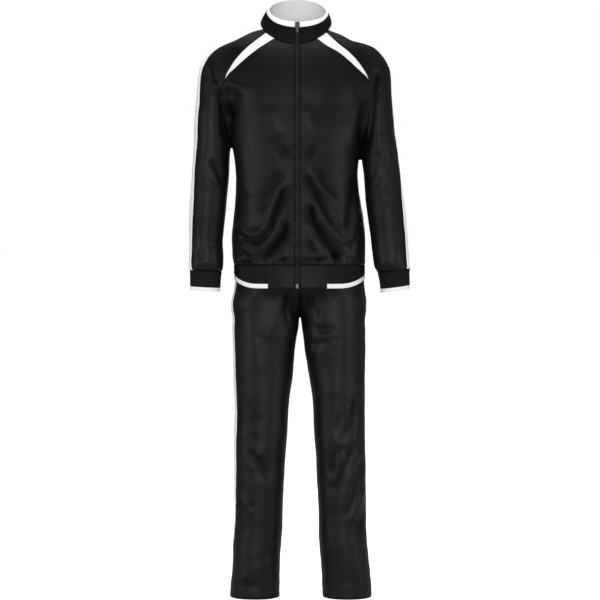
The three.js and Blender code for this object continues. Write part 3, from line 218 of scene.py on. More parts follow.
# Folds, each a bent line over the front or the back by (x, height), its width, and how far it stands out (+)
# or sinks in (-).
jacketFolds = {
    "front": [
        ([(-32, 1127), (-53, 1097), (-68, 1067), (-78, 1037), (-86, 1007), (-101, 989), (-122, 980),
          (-140, 989), (-161, 1019)], 8, 6.5),
        ([(-41, 1151), (-68, 1112), (-89, 1082), (-98, 1040)], 12, -5),
        ([(-32, 1109), (-47, 1079), (-59, 1049), (-71, 1013), (-86, 983), (-113, 962), (-140, 968),
          (-155, 989)], 10, -9),
        ([(-26, 1067), (-44, 1019), (-68, 977), (-92, 947), (-116, 935), (-140, 947), (-158, 965)], 10, 7),
        ([(-24, 1018), (-38, 983), (-59, 956), (-77, 935), (-100, 903)], 13, -12),
        ([(-32, 935), (-59, 911)], 6, 4),
        ([(-26, 923), (-47, 906)], 5, -6),
        ([(-160, 946), (-140, 932), (-125, 922)], 6, -8),
        ([(-160, 925), (-142, 916)], 6, 4),
        ([(-160, 908), (-140, 908), (-118, 912)], 6, -9),
        ([(-104, 1010), (-125, 991)], 9, -4),
        ([(-143, 1103), (-134, 1079)], 10, -3.5),
        ([(-22, 1212), (-36, 1198), (-56, 1182)], 14, -3),
        ([(-82, 1322), (-66, 1285), (-46, 1236)], 20, 3),
        ([(-188, 1394), (-164, 1380), (-132, 1363)], 9, 3.5),
        ([(-186, 1402), (-158, 1388), (-130, 1374)], 6, -3),
        ([(-190, 1378), (-166, 1362), (-140, 1350)], 7, -3),
        ([(-179, 1304), (-165, 1223), (-142, 1129), (-118, 1048)], 19, 4.5),
        ([(-186, 1340), (-176, 1270), (-166, 1196), (-160, 1120)], 12, -4.5),
        ([(24, 1146), (42, 1112), (57, 1082), (72, 1055), (87, 1028), (104, 998)], 9, -8),
        ([(29, 1156), (54, 1118), (75, 1094), (98, 1072)], 8, 5.5),
        ([(52, 1156), (81, 1109), (113, 1076)], 9, -5),
        ([(36, 1084), (57, 1043), (75, 1016), (96, 989), (116, 955)], 9, 7.5),
        ([(33, 1066), (48, 1019), (66, 986), (84, 959), (99, 938), (120, 906)], 12, -12),
        ([(92, 940), (112, 922), (128, 906)], 15, -5),
        ([(27, 1018), (40, 990), (56, 962), (70, 936)], 7, 5),
        ([(28, 1006), (45, 980), (64, 940)], 5, -5),
        ([(26, 976), (42, 947), (57, 926)], 5, -6),
        ([(20, 930), (48, 926), (66, 930)], 6, 4.5),
        ([(38, 916), (60, 914), (84, 917)], 6, -8),
        ([(157, 1140), (150, 1088), (144, 1043), (136, 994)], 10, -9),
        ([(157, 1070), (153, 1013), (141, 974), (117, 954)], 9, 5.5),
        ([(128, 966), (142, 952), (158, 950)], 8, -4),
        ([(30, 1214), (42, 1200), (56, 1192)], 14, -2.6),
        ([(122, 925), (136, 914), (154, 908)], 7, 4),
        ([(20, 1326), (30, 1286), (48, 1244)], 17, 3),
        ([(170, 1352), (160, 1314), (148, 1268), (142, 1216)], 16, 4),
        ([(180, 1352), (174, 1290), (168, 1222), (160, 1160)], 11, -4.5),
        ([(-245, 1450), (-228, 1412), (-211, 1374)], 6, -8),
        ([(-243, 1378), (-228, 1371), (-212, 1360)], 5, -4.5),
        ([(-236, 1398), (-224, 1390), (-211, 1384)], 5, -3.5),
        ([(-212, 1380), (-204, 1336), (-196, 1282), (-190, 1236)], 11, -9),
        ([(226, 1426), (213, 1367), (201, 1304), (188, 1246), (180, 1212)], 11, -11),
        ([(244, 1436), (224, 1418)], 5, -6),
        ([(232, 1448), (226, 1428)], 5, -5),
        ([(214, 1366), (230, 1358)], 5, -3.5),
        ([(-240, 1192), (-221, 1165), (-206, 1138), (-197, 1106)], 7, -8),
        ([(-230, 1184), (-210, 1160), (-194, 1138)], 5, -5.5),
        ([(-248, 1174), (-232, 1142), (-212, 1108)], 7, -6),
        ([(-243, 1172), (-226, 1142), (-208, 1112)], 4, 3),
        ([(-255, 1150), (-244, 1120), (-230, 1096)], 6, -3.5),
        ([(-267, 948), (-262, 930), (-256, 914)], 5, -4.5),
        ([(222, 1208), (208, 1165), (194, 1122)], 8, -8),
        ([(240, 1190), (224, 1147), (204, 1102)], 7, -9),
        ([(256, 1190), (238, 1138), (224, 1090)], 7, -8),
        ([(230, 1190), (216, 1152), (200, 1108)], 4, 3.5),
        ([(248, 1188), (231, 1142), (214, 1094)], 4, 3.5),
        ([(264, 1184), (250, 1142)], 5, -5),
        ([(262, 1232), (272, 1172)], 5, -4),
        ([(240, 1082), (252, 1062)], 6, -3.5),
        ([(-246, 1338), (-250, 1237), (-254, 1102), (-252, 946)], 20, 2),
        ([(246, 1075), (260, 994), (267, 913)], 16, 2.5),
        ([(216, 1262), (222, 1226), (216, 1198)], 12, 3),
    ],
    "back": [
        ([(-150, 1380), (-120, 1300), (-105, 1220)], 20, -5),
        ([(148, 1370), (126, 1290), (112, 1200)], 19, -5),
        ([(-60, 1440), (0, 1422), (66, 1446)], 18, 4),
        ([(-140, 1080), (-60, 1030), (10, 1046)], 16, -6),
        ([(150, 1060), (86, 1000), (14, 992)], 16, -6),
        ([(-120, 1000), (-60, 962), (-16, 968)], 14, 5),
        ([(-236, 1190), (-220, 1150), (-214, 1110)], 14, 4),
        ([(226, 1200), (214, 1150), (208, 1100)], 14, 4),
        ([(-30, 1330), (-42, 1270), (-30, 1200)], 16, 3.5),
        ([(40, 1300), (52, 1230), (36, 1150)], 15, -3.5),
        ([(-150, 960), (-118, 930), (-80, 912)], 10, -5),
        ([(148, 955), (120, 928), (84, 910)], 10, -5.5),
        ([(-20, 948), (16, 926), (52, 914)], 10, -4),
        ([(-70, 1160), (0, 1128), (62, 1150)], 15, -4),
        ([(96, 1140), (60, 1096), (20, 1074)], 14, 5),
        ([(-96, 1120), (-62, 1082), (-10, 1070)], 13, 4.5),
        ([(-252, 1160), (-232, 1130), (-222, 1090)], 9, -4.5),
        ([(248, 1170), (230, 1128), (222, 1084)], 9, -4.5),
        ([(-206, 1380), (-224, 1300), (-228, 1210)], 16, 3.5),
        ([(196, 1380), (210, 1290), (220, 1200)], 16, 3.5),
    ],
}

trouserFolds = {
    "front": [
        ([(-33, 836), (-30, 792), (-24, 747), (-12, 726)], 7, -5),
        ([(-43, 832), (-53, 778), (-75, 716), (-104, 705)], 9, 4.5),
        ([(-15, 826), (-13, 790), (-9, 752)], 6, -4),
        ([(-108, 826), (-112, 790), (-114, 750)], 8, -2.5),
        ([(-138, 792), (-120, 702), (-111, 648), (-88, 610)], 24, 3),
        ([(-113, 717), (-98, 709), (-82, 714)], 8, -4.5),
        ([(-138, 551), (-116, 504), (-96, 474)], 13, -3),
        ([(-136, 446), (-120, 436), (-104, 446)], 9, -4),
        ([(-153, 478), (-142, 449), (-117, 422)], 10, 3.5),
        ([(8, 838), (8, 800), (6, 764)], 9, -5),
        ([(24, 834), (30, 806), (26, 776)], 13, -3),
        ([(58, 834), (55, 806), (50, 776)], 6, 4),
        ([(82, 834), (84, 814), (82, 796)], 6, 3),
        ([(50, 771), (66, 769)], 6, -4.5),
        ([(44, 758), (58, 745), (80, 741), (106, 745)], 5, 5),
        ([(58, 756), (72, 762), (88, 767)], 5, 3.5),
        ([(38, 722), (62, 730), (82, 735), (106, 741)], 6, -9),
        ([(44, 703), (64, 709), (84, 712), (108, 719)], 5, 5),
        ([(30, 682), (51, 691), (70, 694), (88, 692)], 6, -8.5),
        ([(92, 700), (108, 706)], 6, -3.5),
        ([(123, 757), (125, 690), (118, 610), (94, 548)], 24, 3.5),
        ([(88, 676), (100, 664)], 6, -3),
        ([(152, 550), (152, 500), (127, 455), (110, 426)], 9, -9),
        ([(120, 510), (105, 468), (91, 450)], 6, -6),
        ([(142, 500), (128, 462), (112, 434)], 7, 4.5),
        ([(164, 470), (152, 440), (140, 410)], 10, 3.5),
        ([(-136, 404), (-120, 392), (-100, 374), (-88, 350), (-78, 326)], 7, -6.5),
        ([(-113, 402), (-100, 396), (-84, 392)], 7, 7),
        ([(-140, 388), (-128, 368), (-110, 350)], 8, 5),
        ([(-92, 340), (-80, 312), (-70, 286)], 12, 3),
        ([(-156, 288), (-146, 250), (-136, 226)], 6, -5),
        ([(-151, 294), (-138, 254), (-118, 222)], 7, 5),
        ([(-128, 258), (-120, 250)], 6, -4.5),
        ([(-146, 66), (-138, 54)], 8, 3),
        ([(-148, 42), (-124, 36), (-98, 40)], 10, -3.5),
        ([(132, 418), (110, 406), (96, 386), (90, 336)], 7, -8),
        ([(128, 398), (115, 374), (100, 336), (90, 302)], 9, 7),
        ([(148, 414), (133, 374), (114, 334), (98, 286)], 7, -7.5),
        ([(164, 402), (156, 358), (136, 306)], 10, 3.5),
        ([(174, 384), (164, 334), (150, 270), (130, 222)], 7, -6),
        ([(173, 298), (160, 246), (140, 208)], 9, 5.5),
        ([(178, 236), (168, 190), (164, 150)], 12, -3),
    ],
    "back": [
        ([(-140, 770), (-90, 742), (-30, 748)], 15, -5),
        ([(150, 764), (100, 738), (44, 744)], 15, -5),
        ([(-150, 500), (-110, 470), (-62, 486)], 16, -5),
        ([(168, 492), (120, 462), (76, 480)], 16, -5),
        ([(-140, 300), (-118, 240), (-124, 170)], 14, -4),
        ([(140, 310), (120, 250), (130, 170)], 14, -4),
        ([(-96, 840), (-88, 790), (-60, 760)], 12, -4),
        ([(104, 836), (96, 792), (66, 758)], 12, -4.5),
        ([(-148, 452), (-112, 440), (-66, 452)], 10, 3.5),
        ([(166, 446), (124, 436), (82, 450)], 10, 3.5),
        ([(-140, 420), (-104, 402), (-72, 412)], 11, -4),
        ([(156, 410), (118, 398), (86, 404)], 11, -4.5),
        ([(-92, 700), (-106, 620), (-96, 560)], 18, 3.5),
        ([(112, 690), (124, 620), (112, 550)], 18, 3.5),
    ],
}


def ease(value):
    t = np.clip(value, 0, 1)
    return t * t * (3 - 2 * t)


def mix(a, b, share):
    return a + (b - a) * share


def vectors(x, y, z):  # one point or direction for each value given
    return np.stack(np.broadcast_arrays(x, y, z), -1).astype(float)


# a smooth curve through one column of a table, with no swing past a row
def smoothCurve(places, values):
    k, v = np.array(places, float), np.array(values, float)
    steep = np.diff(v) / np.diff(k)
    lean = np.zeros(len(k))
    same = steep[:-1] * steep[1:] > 0
    both = np.where(same, steep[:-1] + steep[1:], 1)
    lean[1:-1] = np.where(same, 2 * steep[:-1] * steep[1:] / both, 0)
    dense = np.linspace(k[0], k[-1], 3000)
    i = np.clip(np.searchsorted(k, dense, side="right") - 1, 0, len(k) - 2)
    span = k[i + 1] - k[i]
    t = (dense - k[i]) / span
    rest = v[i] * (1 + 2 * t) * (1 - t) ** 2 + v[i + 1] * t * t * (3 - 2 * t)
    smooth = rest + span * (lean[i] * t * (1 - t) ** 2 - lean[i + 1] * t * t * (1 - t))
    return lambda place: np.interp(place, dense, smooth)


def curvesOf(table, key):
    return {name: smoothCurve(table[key], column) for name, column in table.items() if name != key}


torso, hips = curvesOf(torsoRows, "z"), curvesOf(hipRows, "z")
arms = {side: curvesOf(armRows[side], "z") for side in signs}
legs = {side: curvesOf(legRows[side], "z") for side in signs}
caps = {side: curvesOf(capRows[side], "row") for side in signs}
raglan = {side: {seam: curvesOf(rows, "row") for seam, rows in raglanSeams[side].items()} for side in signs}
reach, rise, middles = curvesOf(bodyReach, "row"), curvesOf(riseRows, "row"), curvesOf(hipMiddles, "row")
stripeShift = {side: curvesOf(sleeveStripe[side], "row")["shift"] for side in signs}
legShift = {side: curvesOf(legStripe[side], "row")["shift"] for side in signs}


# distance outside (+) or inside (-) a level section with rounded sides
def outsideSection(dx, dy, half, depth, power):
    size = (np.abs(dx / half) ** power + np.abs(dy / depth) ** power) ** (1 / power)
    return np.hypot(dx, dy) * (1 - 1 / np.maximum(size, 1e-6))


def joined(a, b, rounding):
    near = np.maximum(rounding - np.abs(a - b), 0) / rounding
    return np.minimum(a, b) - near * near * rounding / 4


def tube(sizes, p):
    x, y, z = p.T
    dx, dy = x - sizes["middle"](z), y - sizes["y"](z)
    return outsideSection(dx, dy, sizes["half"](z), sizes["depth"](z), garment["limbRoundness"])


# how the arms blend into the body, and how the legs part below the hips
shoulder = {"closesAt": 1503, "closing": 1.5, "blend": 8, "moreBlend": 34, "blendFrom": 1200,
            "blendOver": 200}
crotch = {"height": 770, "rise": 98, "depth": 116, "steepness": 0.8, "seatBlend": 14, "legBlend": 5,
          "hipBlend": 16}


def jacketForm(p):
    x, y, z = p.T
    depth = np.where(y < 0, torso["front"](z), torso["back"](z))
    body = outsideSection(x - torso["middle"](z), y, torso["half"](z), depth, garment["bodyRoundness"])
    arm = np.where(x < 0, tube(arms["left"], p), tube(arms["right"], p))
    arm = arm + shoulder["closing"] * np.maximum(z - shoulder["closesAt"], 0)
    more = ease((z - shoulder["blendFrom"]) / shoulder["blendOver"])
    return joined(body, arm, shoulder["blend"] + shoulder["moreBlend"] * more)


def trouserForm(p):
    x, y, z = p.T
    depth = np.where(y < 0, hips["front"](z), hips["back"](z))
    level = outsideSection(x - hips["middle"](z), y, hips["half"](z), depth, garment["bodyRoundness"])
    arch = crotch["height"] + crotch["rise"] * np.abs(y / crotch["depth"]) ** 3
    under = (arch - z) * crotch["steepness"]
    seat = -joined(-level, -under, crotch["seatBlend"])
    legForms = joined(tube(legs["left"], p), tube(legs["right"], p), crotch["legBlend"])
    return joined(seat, legForms, crotch["hipBlend"])


# where rays from inside a form first come out of it
def wayOut(form, start, towards):
    towards = towards / np.linalg.norm(towards, axis=-1, keepdims=True)
    start, towards = np.broadcast_arrays(start, towards)
    near = np.zeros(len(start))
    inside = np.arange(len(start))
    for far in np.arange(4.0, 404.0, 4.0):
        inside = inside[form(start[inside] + towards[inside] * far) < 0]
        near[inside] = far
        if not len(inside):
            break
    far = near + 4
    for _ in range(12):
        half = (near + far) / 2
        within = form(start + towards * half[:, None]) < 0
        near, far = np.where(within, half, near), np.where(within, far, half)
    return start + towards * ((near + far) / 2)[:, None]


def facing(form, p):
    step = 1.5 * np.eye(3)
    normal = np.stack([form(p + s) - form(p - s) for s in step], -1)
    return normal / np.linalg.norm(normal, axis=-1, keepdims=True)


# how folds run out at their ends, how far they go in and out, and their section as (power, share of width)
foldShape = {"fade": 26, "mostFade": 0.36, "deepest": -18, "highest": 12,
             "valley": (1.2, 1.2), "ridge": (1.8, 1.0)}


# how far a fold table moves the cloth out at points that face a given way
def foldHeight(folds, p, normal):
    total = np.zeros(len(p))
    for side, seen in (("front", normal[:, 1] < 0), ("back", normal[:, 1] >= 0)):
        x, z = p[seen, 0], p[seen, 2]
        height = np.zeros(len(x))
        for line, width, depth in folds[side]:
            line = np.array(line, float)
            far = np.concatenate([[0], np.cumsum(np.linalg.norm(np.diff(line, axis=0), axis=1))])
            nearest, way = np.full(len(x), 1e9), np.zeros(len(x))
            for start, end, before, after in zip(line, line[1:], far, far[1:]):
                along = end - start
                share = ((x - start[0]) * along[0] + (z - start[1]) * along[1]) / (after - before) ** 2
                inLine = np.clip(share, 0, 1)
                off = np.hypot(x - start[0] - inLine * along[0], z - start[1] - inLine * along[1])
                way = np.where(off < nearest, mix(before, after, inLine) / far[-1], way)
                nearest = np.minimum(off, nearest)
            ends = min(foldShape["mostFade"], foldShape["fade"] / far[-1])
            fade = ease((way + 0.02) / ends) * ease((1.02 - way) / ends)
            power, spread = foldShape["valley" if depth < 0 else "ridge"]  # valleys pinch, ridges stay round
            height += depth * np.exp(-((nearest / (spread * width)) ** power)) * fade
        total[seen] = np.clip(height, foldShape["deepest"], foldShape["highest"])
    return total * ease((np.abs(normal[:, 1]) - 0.1) / 0.35)


# uneven waves, a sum of a few lengths with drawn phases and strengths
def unevenWaves(lengths):
    waves = [(2 * np.pi / length, draw.uniform(0, 6.3), draw.uniform(0.6, 1)) for length in lengths]
    return lambda s: sum(part * np.sin(s * turn + phase) for turn, phase, part in waves) / len(waves)


# soft unevenness over a whole cloth, from waves that cross in many directions
def softUnevenness(size, count=9):
    waves = []
    for _ in range(count):
        way = draw.normal(size=3)
        way = way / np.linalg.norm(way) * 2 * np.pi / (size * draw.uniform(0.7, 1.5))
        waves.append((way, draw.uniform(0, 6.3)))
    return lambda p: sum(np.sin(p @ way + phase) for way, phase in waves) / math.sqrt(count)


broadUnevenness, smallUnevenness = softUnevenness(150), softUnevenness(38)
hemGathers, cuffGathers = unevenWaves((16, 23, 37, 61)), unevenWaves((13, 19, 29))
zipPuckers, kneeWaves = unevenWaves((24, 37, 58)), unevenWaves((47, 83))

fineRelief = {
    "broad": 1.1, "small": 0.28,  # overall unevenness of the cloth, up and down
    "hemGather": 2.4, "hemGatherRise": 34,  # gathers above the hem band and how far up they reach
    "cuffGather": 1.7, "cuffGatherRise": 26,
    "zipPucker": 0.9, "zipPuckerReach": 20,
    "hemStack": 1.0, "hemStackRise": 110,  # slack rings above the trouser hem
    "tucked": 14,  # how much flatter the trousers lie under the jacket
    "sleevesFrom": 192, "bodyTurn": 150, "sleeveTurn": 40,  # where sleeves begin, and the reach of one radian
}


def unevenness(p):
    return fineRelief["broad"] * broadUnevenness(p) + fineRelief["small"] * smallUnevenness(p)


def jacketRelief(p, normal):
    x, y, z = p.T
    sleeve = np.abs(x) > fineRelief["sleevesFrom"]
    aroundSleeve = fineRelief["sleeveTurn"] * np.arctan2(y + 20, np.abs(x) - 240)
    around = np.where(sleeve, aroundSleeve, fineRelief["bodyTurn"] * np.arctan2(y, x))
    hemFade = np.exp(-np.maximum(z - garment["hemTop"], 0) / fineRelief["hemGatherRise"])
    cuffFade = np.exp(-np.maximum(z - garment["cuffTop"], 0) / fineRelief["cuffGatherRise"])
    hem = fineRelief["hemGather"] * hemGathers(around) * hemFade
    cuff = fineRelief["cuffGather"] * cuffGathers(around + x) * cuffFade
    fromZip = np.abs(x - garment["zipCentre"]) / fineRelief["zipPuckerReach"]
    pucker = fineRelief["zipPucker"] * zipPuckers(z + 40 * np.sign(x)) * np.exp(-(fromZip ** 2))
    pucker = np.where((y < 0) & ~sleeve, pucker, 0)
    return np.where(sleeve, cuff, hem) + pucker + unevenness(p) * ease((1500 - z) / 120)


def trouserRelief(p, normal):
    x, y, z = p.T
    rings = fineRelief["hemStack"] * kneeWaves(z + 0.35 * np.abs(x) + 30 * np.sin(np.arctan2(y, x)))
    rings = rings * np.exp(-z / fineRelief["hemStackRise"]) * ease((z - 12) / 40)
    tucked = -fineRelief["tucked"] * ease((z - 880) / 30) * ease((-normal[:, 1] - 0.2) / 0.5)
    return rings + tucked + unevenness(p)


# the neck seam, by its angle from the front toward the right
neckSeam = {"middleX": -4, "middleY": -5, "half": 96, "depth": 80, "frontDrop": 34, "sideRise": 23}


def neckRing(angle):
    side, front = np.sin(angle), np.cos(angle)
    x = neckSeam["middleX"] + neckSeam["half"] * side
    y = neckSeam["middleY"] - neckSeam["depth"] * front
    height = garment["neckHeight"] - neckSeam["frontDrop"] * front + neckSeam["sideRise"] * side * side
    return vectors(x, y, height)


def ontoNeck(p):
    side = (p[:, 0] - neckSeam["middleX"]) / neckSeam["half"]
    front = -(p[:, 1] - neckSeam["middleY"]) / neckSeam["depth"]
    return neckRing(np.arctan2(side, front)) - p


# A row of rays across a panel runs between two ends, each with its start and the seam point it comes out at.
def rowEnd(axes, start, point):
    out, turn, along = (((point - start) * axes[name]).sum(-1) for name in ("out", "turn", "along"))
    slope = along / np.hypot(out, turn)
    return {"start": start, "point": point, "angle": np.arctan2(turn, out), "slope": slope}


def acrossRow(form, axes, first, last, j, u):
    start = mix(first["start"][j], last["start"][j], u[:, None])
    angle = mix(first["angle"][j], last["angle"][j], u)[:, None]
    slope = (first["slope"][j] * (1 - u) ** 2 + last["slope"][j] * u ** 2)[:, None]
    towards = axes["out"][j] * np.cos(angle) + axes["turn"][j] * np.sin(angle) + axes["along"][j] * slope
    points = wayOut(form, start, towards)
    points[u <= 0] = first["point"][j][u <= 0]
    points[u >= 1] = last["point"][j][u >= 1]
    return points


def clothSurface(form, folds, relief, base, neckShift, weight):
    normal = facing(form, base)
    points = base + neckShift * weight[:, None]
    height = foldHeight(folds, points, normal) * (1 - weight) + relief(points, normal) * (1 - weight)
    return points + normal * height[:, None], normal


def neckWeight(row):
    return np.clip(1 - row / 3.5, 0, 1) ** 2


def raglanPoint(side, seamName, row):
    seam = raglan[side][seamName]
    dip = np.radians(seam["dip"](row))
    towards = 1 if seamName == "back" else -1
    start = vectors(seam["x"](row), np.where(row > 11, 5, 0), seam["z"](row))
    return wayOut(jacketForm, start, vectors(0, towards * np.cos(dip), -np.sin(dip)))


armpitZ = {side: raglanPoint(side, "back", np.array([14.0]))[0, 2] for side in signs}


# a panel made of rows between two edges, as a function of shares across and down
def rowPanel(form, folds, relief, rowsAt, rowCount, firstEdge, lastEdge, neck=True, within=None):
    def skin(u, v):
        levels, j = np.unique(v, return_inverse=True)
        ends = rowsAt(levels * rowCount)
        base = acrossRow(within or form, ends["axes"], ends[firstEdge], ends[lastEdge], j, u)
        if not neck:
            return clothSurface(form, folds, relief, base, np.zeros_like(base), np.zeros(len(u)))
        top = rowsAt(np.zeros(1))
        shares, i = np.unique(u, return_inverse=True)
        atTop = np.zeros(len(shares), int)
        onTop = acrossRow(form, top["axes"], top[firstEdge], top[lastEdge], atTop, shares)
        return clothSurface(form, folds, relief, base, ontoNeck(onTop)[i], neckWeight(v * rowCount))
    return skin


# the two edges of a stripe, each so far round from the ray out of the side
def stripeEdges(form, axes, start, shift, half):
    radius = np.linalg.norm(wayOut(form, start, axes["out"]) - start, axis=-1)
    edges = {}
    for name, sign in (("frontStripe", 1), ("backStripe", -1)):
        angle = (shift + sign * half) / radius
        towards = axes["out"] * np.cos(angle)[:, None] + axes["turn"] * np.sin(angle)[:, None]
        point = wayOut(form, start, towards)
        edges[name] = {"start": start, "point": point, "angle": angle, "slope": np.zeros(len(angle))}
    return edges


def sleeveRows(side):
    sign, cap, arm = signs[side], caps[side], arms[side]

    def rowsAt(row):
        down = np.maximum(row - garment["rowsToArmpit"], 0) / garment["rowsOfSleeve"]
        below = down > 0
        tilt = np.radians(cap["tilt"](row))
        height = mix(cap["z"](row), garment["cuffTop"], down)
        startX = np.where(below, arm["middle"](height), cap["x"](row))
        start = vectors(startX, np.where(below, arm["y"](height), 4), height)
        zero = np.zeros(len(row))
        axes = {
            "out": vectors(sign * np.sin(tilt), zero, np.cos(tilt)),
            "turn": vectors(zero, zero - 1, zero),
            "along": vectors(-sign * np.cos(tilt), zero, np.sin(tilt)),
        }
        seamHeight = mix(armpitZ[side], garment["cuffTop"], down)
        inside = vectors(arm["middle"](seamHeight), arm["y"](seamHeight), seamHeight)
        under = wayOut(jacketForm, inside, -axes["out"])
        ends = {"axes": axes}
        for name, seamName in (("front", "sleeveFront"), ("back", "back")):
            point = np.where(below[:, None], under, raglanPoint(side, seamName, row))
            ends[name] = rowEnd(axes, start, point)
            ends[name]["angle"] = np.abs(ends[name]["angle"]) * (1 if name == "front" else -1)
        ends.update(stripeEdges(jacketForm, axes, start, stripeShift[side](row), sleeveStripe["half"]))
        return ends
    return rowsAt


def bodyRows(side, face):
    sign, front = signs[side], face == "front"
    centreTop = neckRing(0.0 if front else math.pi)[2]
    armpitLevel = (armpitZ[side] if front else min(armpitZ.values())) - 4

    def rowsAt(row):
        down = np.maximum(row - garment["rowsToArmpit"], 0) / garment["rowsOfSide"]
        up = 1 - np.minimum(row, garment["rowsToArmpit"]) / garment["rowsToArmpit"]
        below = down > 0
        zero = np.zeros(len(row))
        centreEnd, centreShare = np.where(below, garment["hemTop"], centreTop), np.where(below, down, up)
        centreHeight = mix(armpitLevel, centreEnd, centreShare)
        axes = {
            "out": vectors(zero, zero + (-1 if front else 1), zero),
            "turn": vectors(zero + sign, zero, zero),
            "along": vectors(zero, zero, zero + 1),
        }
        centreX = garment["zipCentre"] + sign * garment["zipHalf"] if front else 0
        centreStart = vectors(centreX, -8 if front else 8, centreHeight)
        centre = rowEnd(axes, centreStart, wayOut(jacketForm, centreStart, axes["out"]))
        height = mix(armpitZ[side], garment["hemTop"], down)
        sideStart = vectors(sign * 92, 5, height)
        sidePoint = wayOut(jacketForm, sideStart, vectors(zero + sign, zero, zero))
        seamPoint = raglanPoint(side, "bodyFront" if front else "back", row)
        seamX = seamPoint[:, 0] - sign * reach["inward"](row)
        seamY = reach["y"](row) * np.where((row < 10) & (not front), -1, 1)
        seamStart = vectors(seamX, seamY, seamPoint[:, 2] + reach["above"](row))
        start = np.where(below[:, None], sideStart, seamStart)
        point = np.where(below[:, None], sidePoint, seamPoint)
        return {"axes": axes, "centre": centre, "seam": rowEnd(axes, start, point)}
    return rowsAt


def bodyPanel(side, face):
    rows = garment["rowsToArmpit"] + garment["rowsOfSide"]
    return rowPanel(jacketForm, jacketFolds, jacketRelief, bodyRows(side, face), rows, "centre", "seam")


def backSkin(u, v):  # the back is one piece, made from its two halves
    left, right = bodyPanel("left", "back"), bodyPanel("right", "back")
    first = u < 0.5
    points, normals = np.empty((len(u), 3)), np.empty((len(u), 3))
    points[first], normals[first] = left(1 - 2 * u[first], v[first])
    points[~first], normals[~first] = right(2 * u[~first] - 1, v[~first])
    return points, normals


def insertSkin(side):
    lower, upper = raglan[side]["bodyFront"], raglan[side]["sleeveFront"]

    def insertBase(u, row):
        x, z = (mix(lower[name](row), upper[name](row), u) for name in ("x", "z"))
        return wayOut(jacketForm, vectors(x, 0, z), vectors(0 * u, 0 * u - 1, 0 * u))

    def skin(u, v):
        row = v * garment["rowsOfInsert"]
        shift = ontoNeck(insertBase(u, 0 * u))
        return clothSurface(jacketForm, jacketFolds, jacketRelief, insertBase(u, row), shift, neckWeight(row))
    return skin


# the hem band hangs between two heights that change round the body
hemLine = {"side": 864, "frontDrop": 24, "backDrop": 14, "turn": 0.65}
hemLevels = {
    "top": lambda low: garment["hemTop"],
    "tip": lambda low: low + garment["hemTipHeight"],
    "bottom": lambda low: low,
}


def hemBottom(angle):
    front = -np.sin(angle)
    drop = np.where(front > 0, hemLine["frontDrop"], hemLine["backDrop"])
    return hemLine["side"] - drop * ease(np.abs(front) / hemLine["turn"])


def levelNormal(normal):
    flat = normal * np.array([1, 1, 0])
    return flat / np.linalg.norm(flat, axis=-1, keepdims=True)


def hemSkin(angles, top, bottom):
    def skin(u, v):
        angle = mix(angles[0], angles[1], u)
        low = hemBottom(angle)
        start = vectors(0, 0, mix(hemLevels[top](low), hemLevels[bottom](low), v))
        base = wayOut(jacketForm, start, vectors(np.cos(angle), np.sin(angle), 0))
        return base, levelNormal(facing(jacketForm, base))
    return skin


def frontAngle(x):
    p = wayOut(jacketForm, vectors([x], 0, 870), vectors([0.0], -1, 0))[0]
    return math.atan2(p[1], p[0])


def cuffSkin(side, top, bottom):
    def armForm(p):
        return tube(arms[side], p)
    lastRow = garment["rowsToArmpit"] + garment["rowsOfSleeve"]
    climb = math.tan(math.radians(90 - float(caps[side]["tilt"](np.array([lastRow]))[0])))

    def skin(u, v):
        angle = u * 2 * np.pi * signs[side]
        height = mix(top, bottom, v)
        start = vectors(arms[side]["middle"](height), arms[side]["y"](height), height)
        towards = vectors(np.cos(angle), np.sin(angle), climb * signs[side] * np.cos(angle))
        base = wayOut(armForm, start, towards)
        return base, levelNormal(facing(armForm, base))
    return skin


# the collar stands on the neck seam and narrows toward its top edge
collarTopRing = {"half": 79, "depth": 69, "front": 1550, "side": 1586, "back": 1618, "rightDip": 5}
collar = {"wall": 1.5, "liningGap": 0.3, "lift": 0.3, "lean": 4.5, "bulge": 2.5, "stand": 59,
          "bandBack": 10, "bandFront": 15}


def collarMiddle(share):
    return neckSeam["middleX"] + collar["lean"] * share


def collarReach(way, share, inset):  # "half" across or "depth" front to back, at a share of the height
    return mix(neckSeam[way], collarTopRing[way], share) + collar["bulge"] * np.sin(np.pi * share) - inset


def collarPoint(angle, share, inset):
    side, front = np.sin(angle), np.cos(angle)
    middle = (collarTopRing["front"] + collarTopRing["back"]) / 2
    climb = (collarTopRing["back"] - collarTopRing["front"]) / 2
    topHeight = middle - climb * front + (collarTopRing["side"] - middle) * side * side
    topHeight = topHeight - collarTopRing["rightDip"] * np.maximum(side, 0) ** 2
    foot = neckRing(angle)[:, 2] + collar["lift"]
    x = collarMiddle(share) + collarReach("half", share, inset) * side
    y = neckSeam["middleY"] - collarReach("depth", share, inset) * front
    return vectors(x, y, mix(foot, topHeight, share))


def collarAngle(way, share, inset):
    fromZip, half = garment["zipCentre"] - collarMiddle(share), collarReach("half", share, inset)
    first = np.arcsin((fromZip + garment["zipHalf"]) / half)
    last = np.arcsin((fromZip - garment["zipHalf"]) / half) + 2 * np.pi
    return mix(first, last, way)


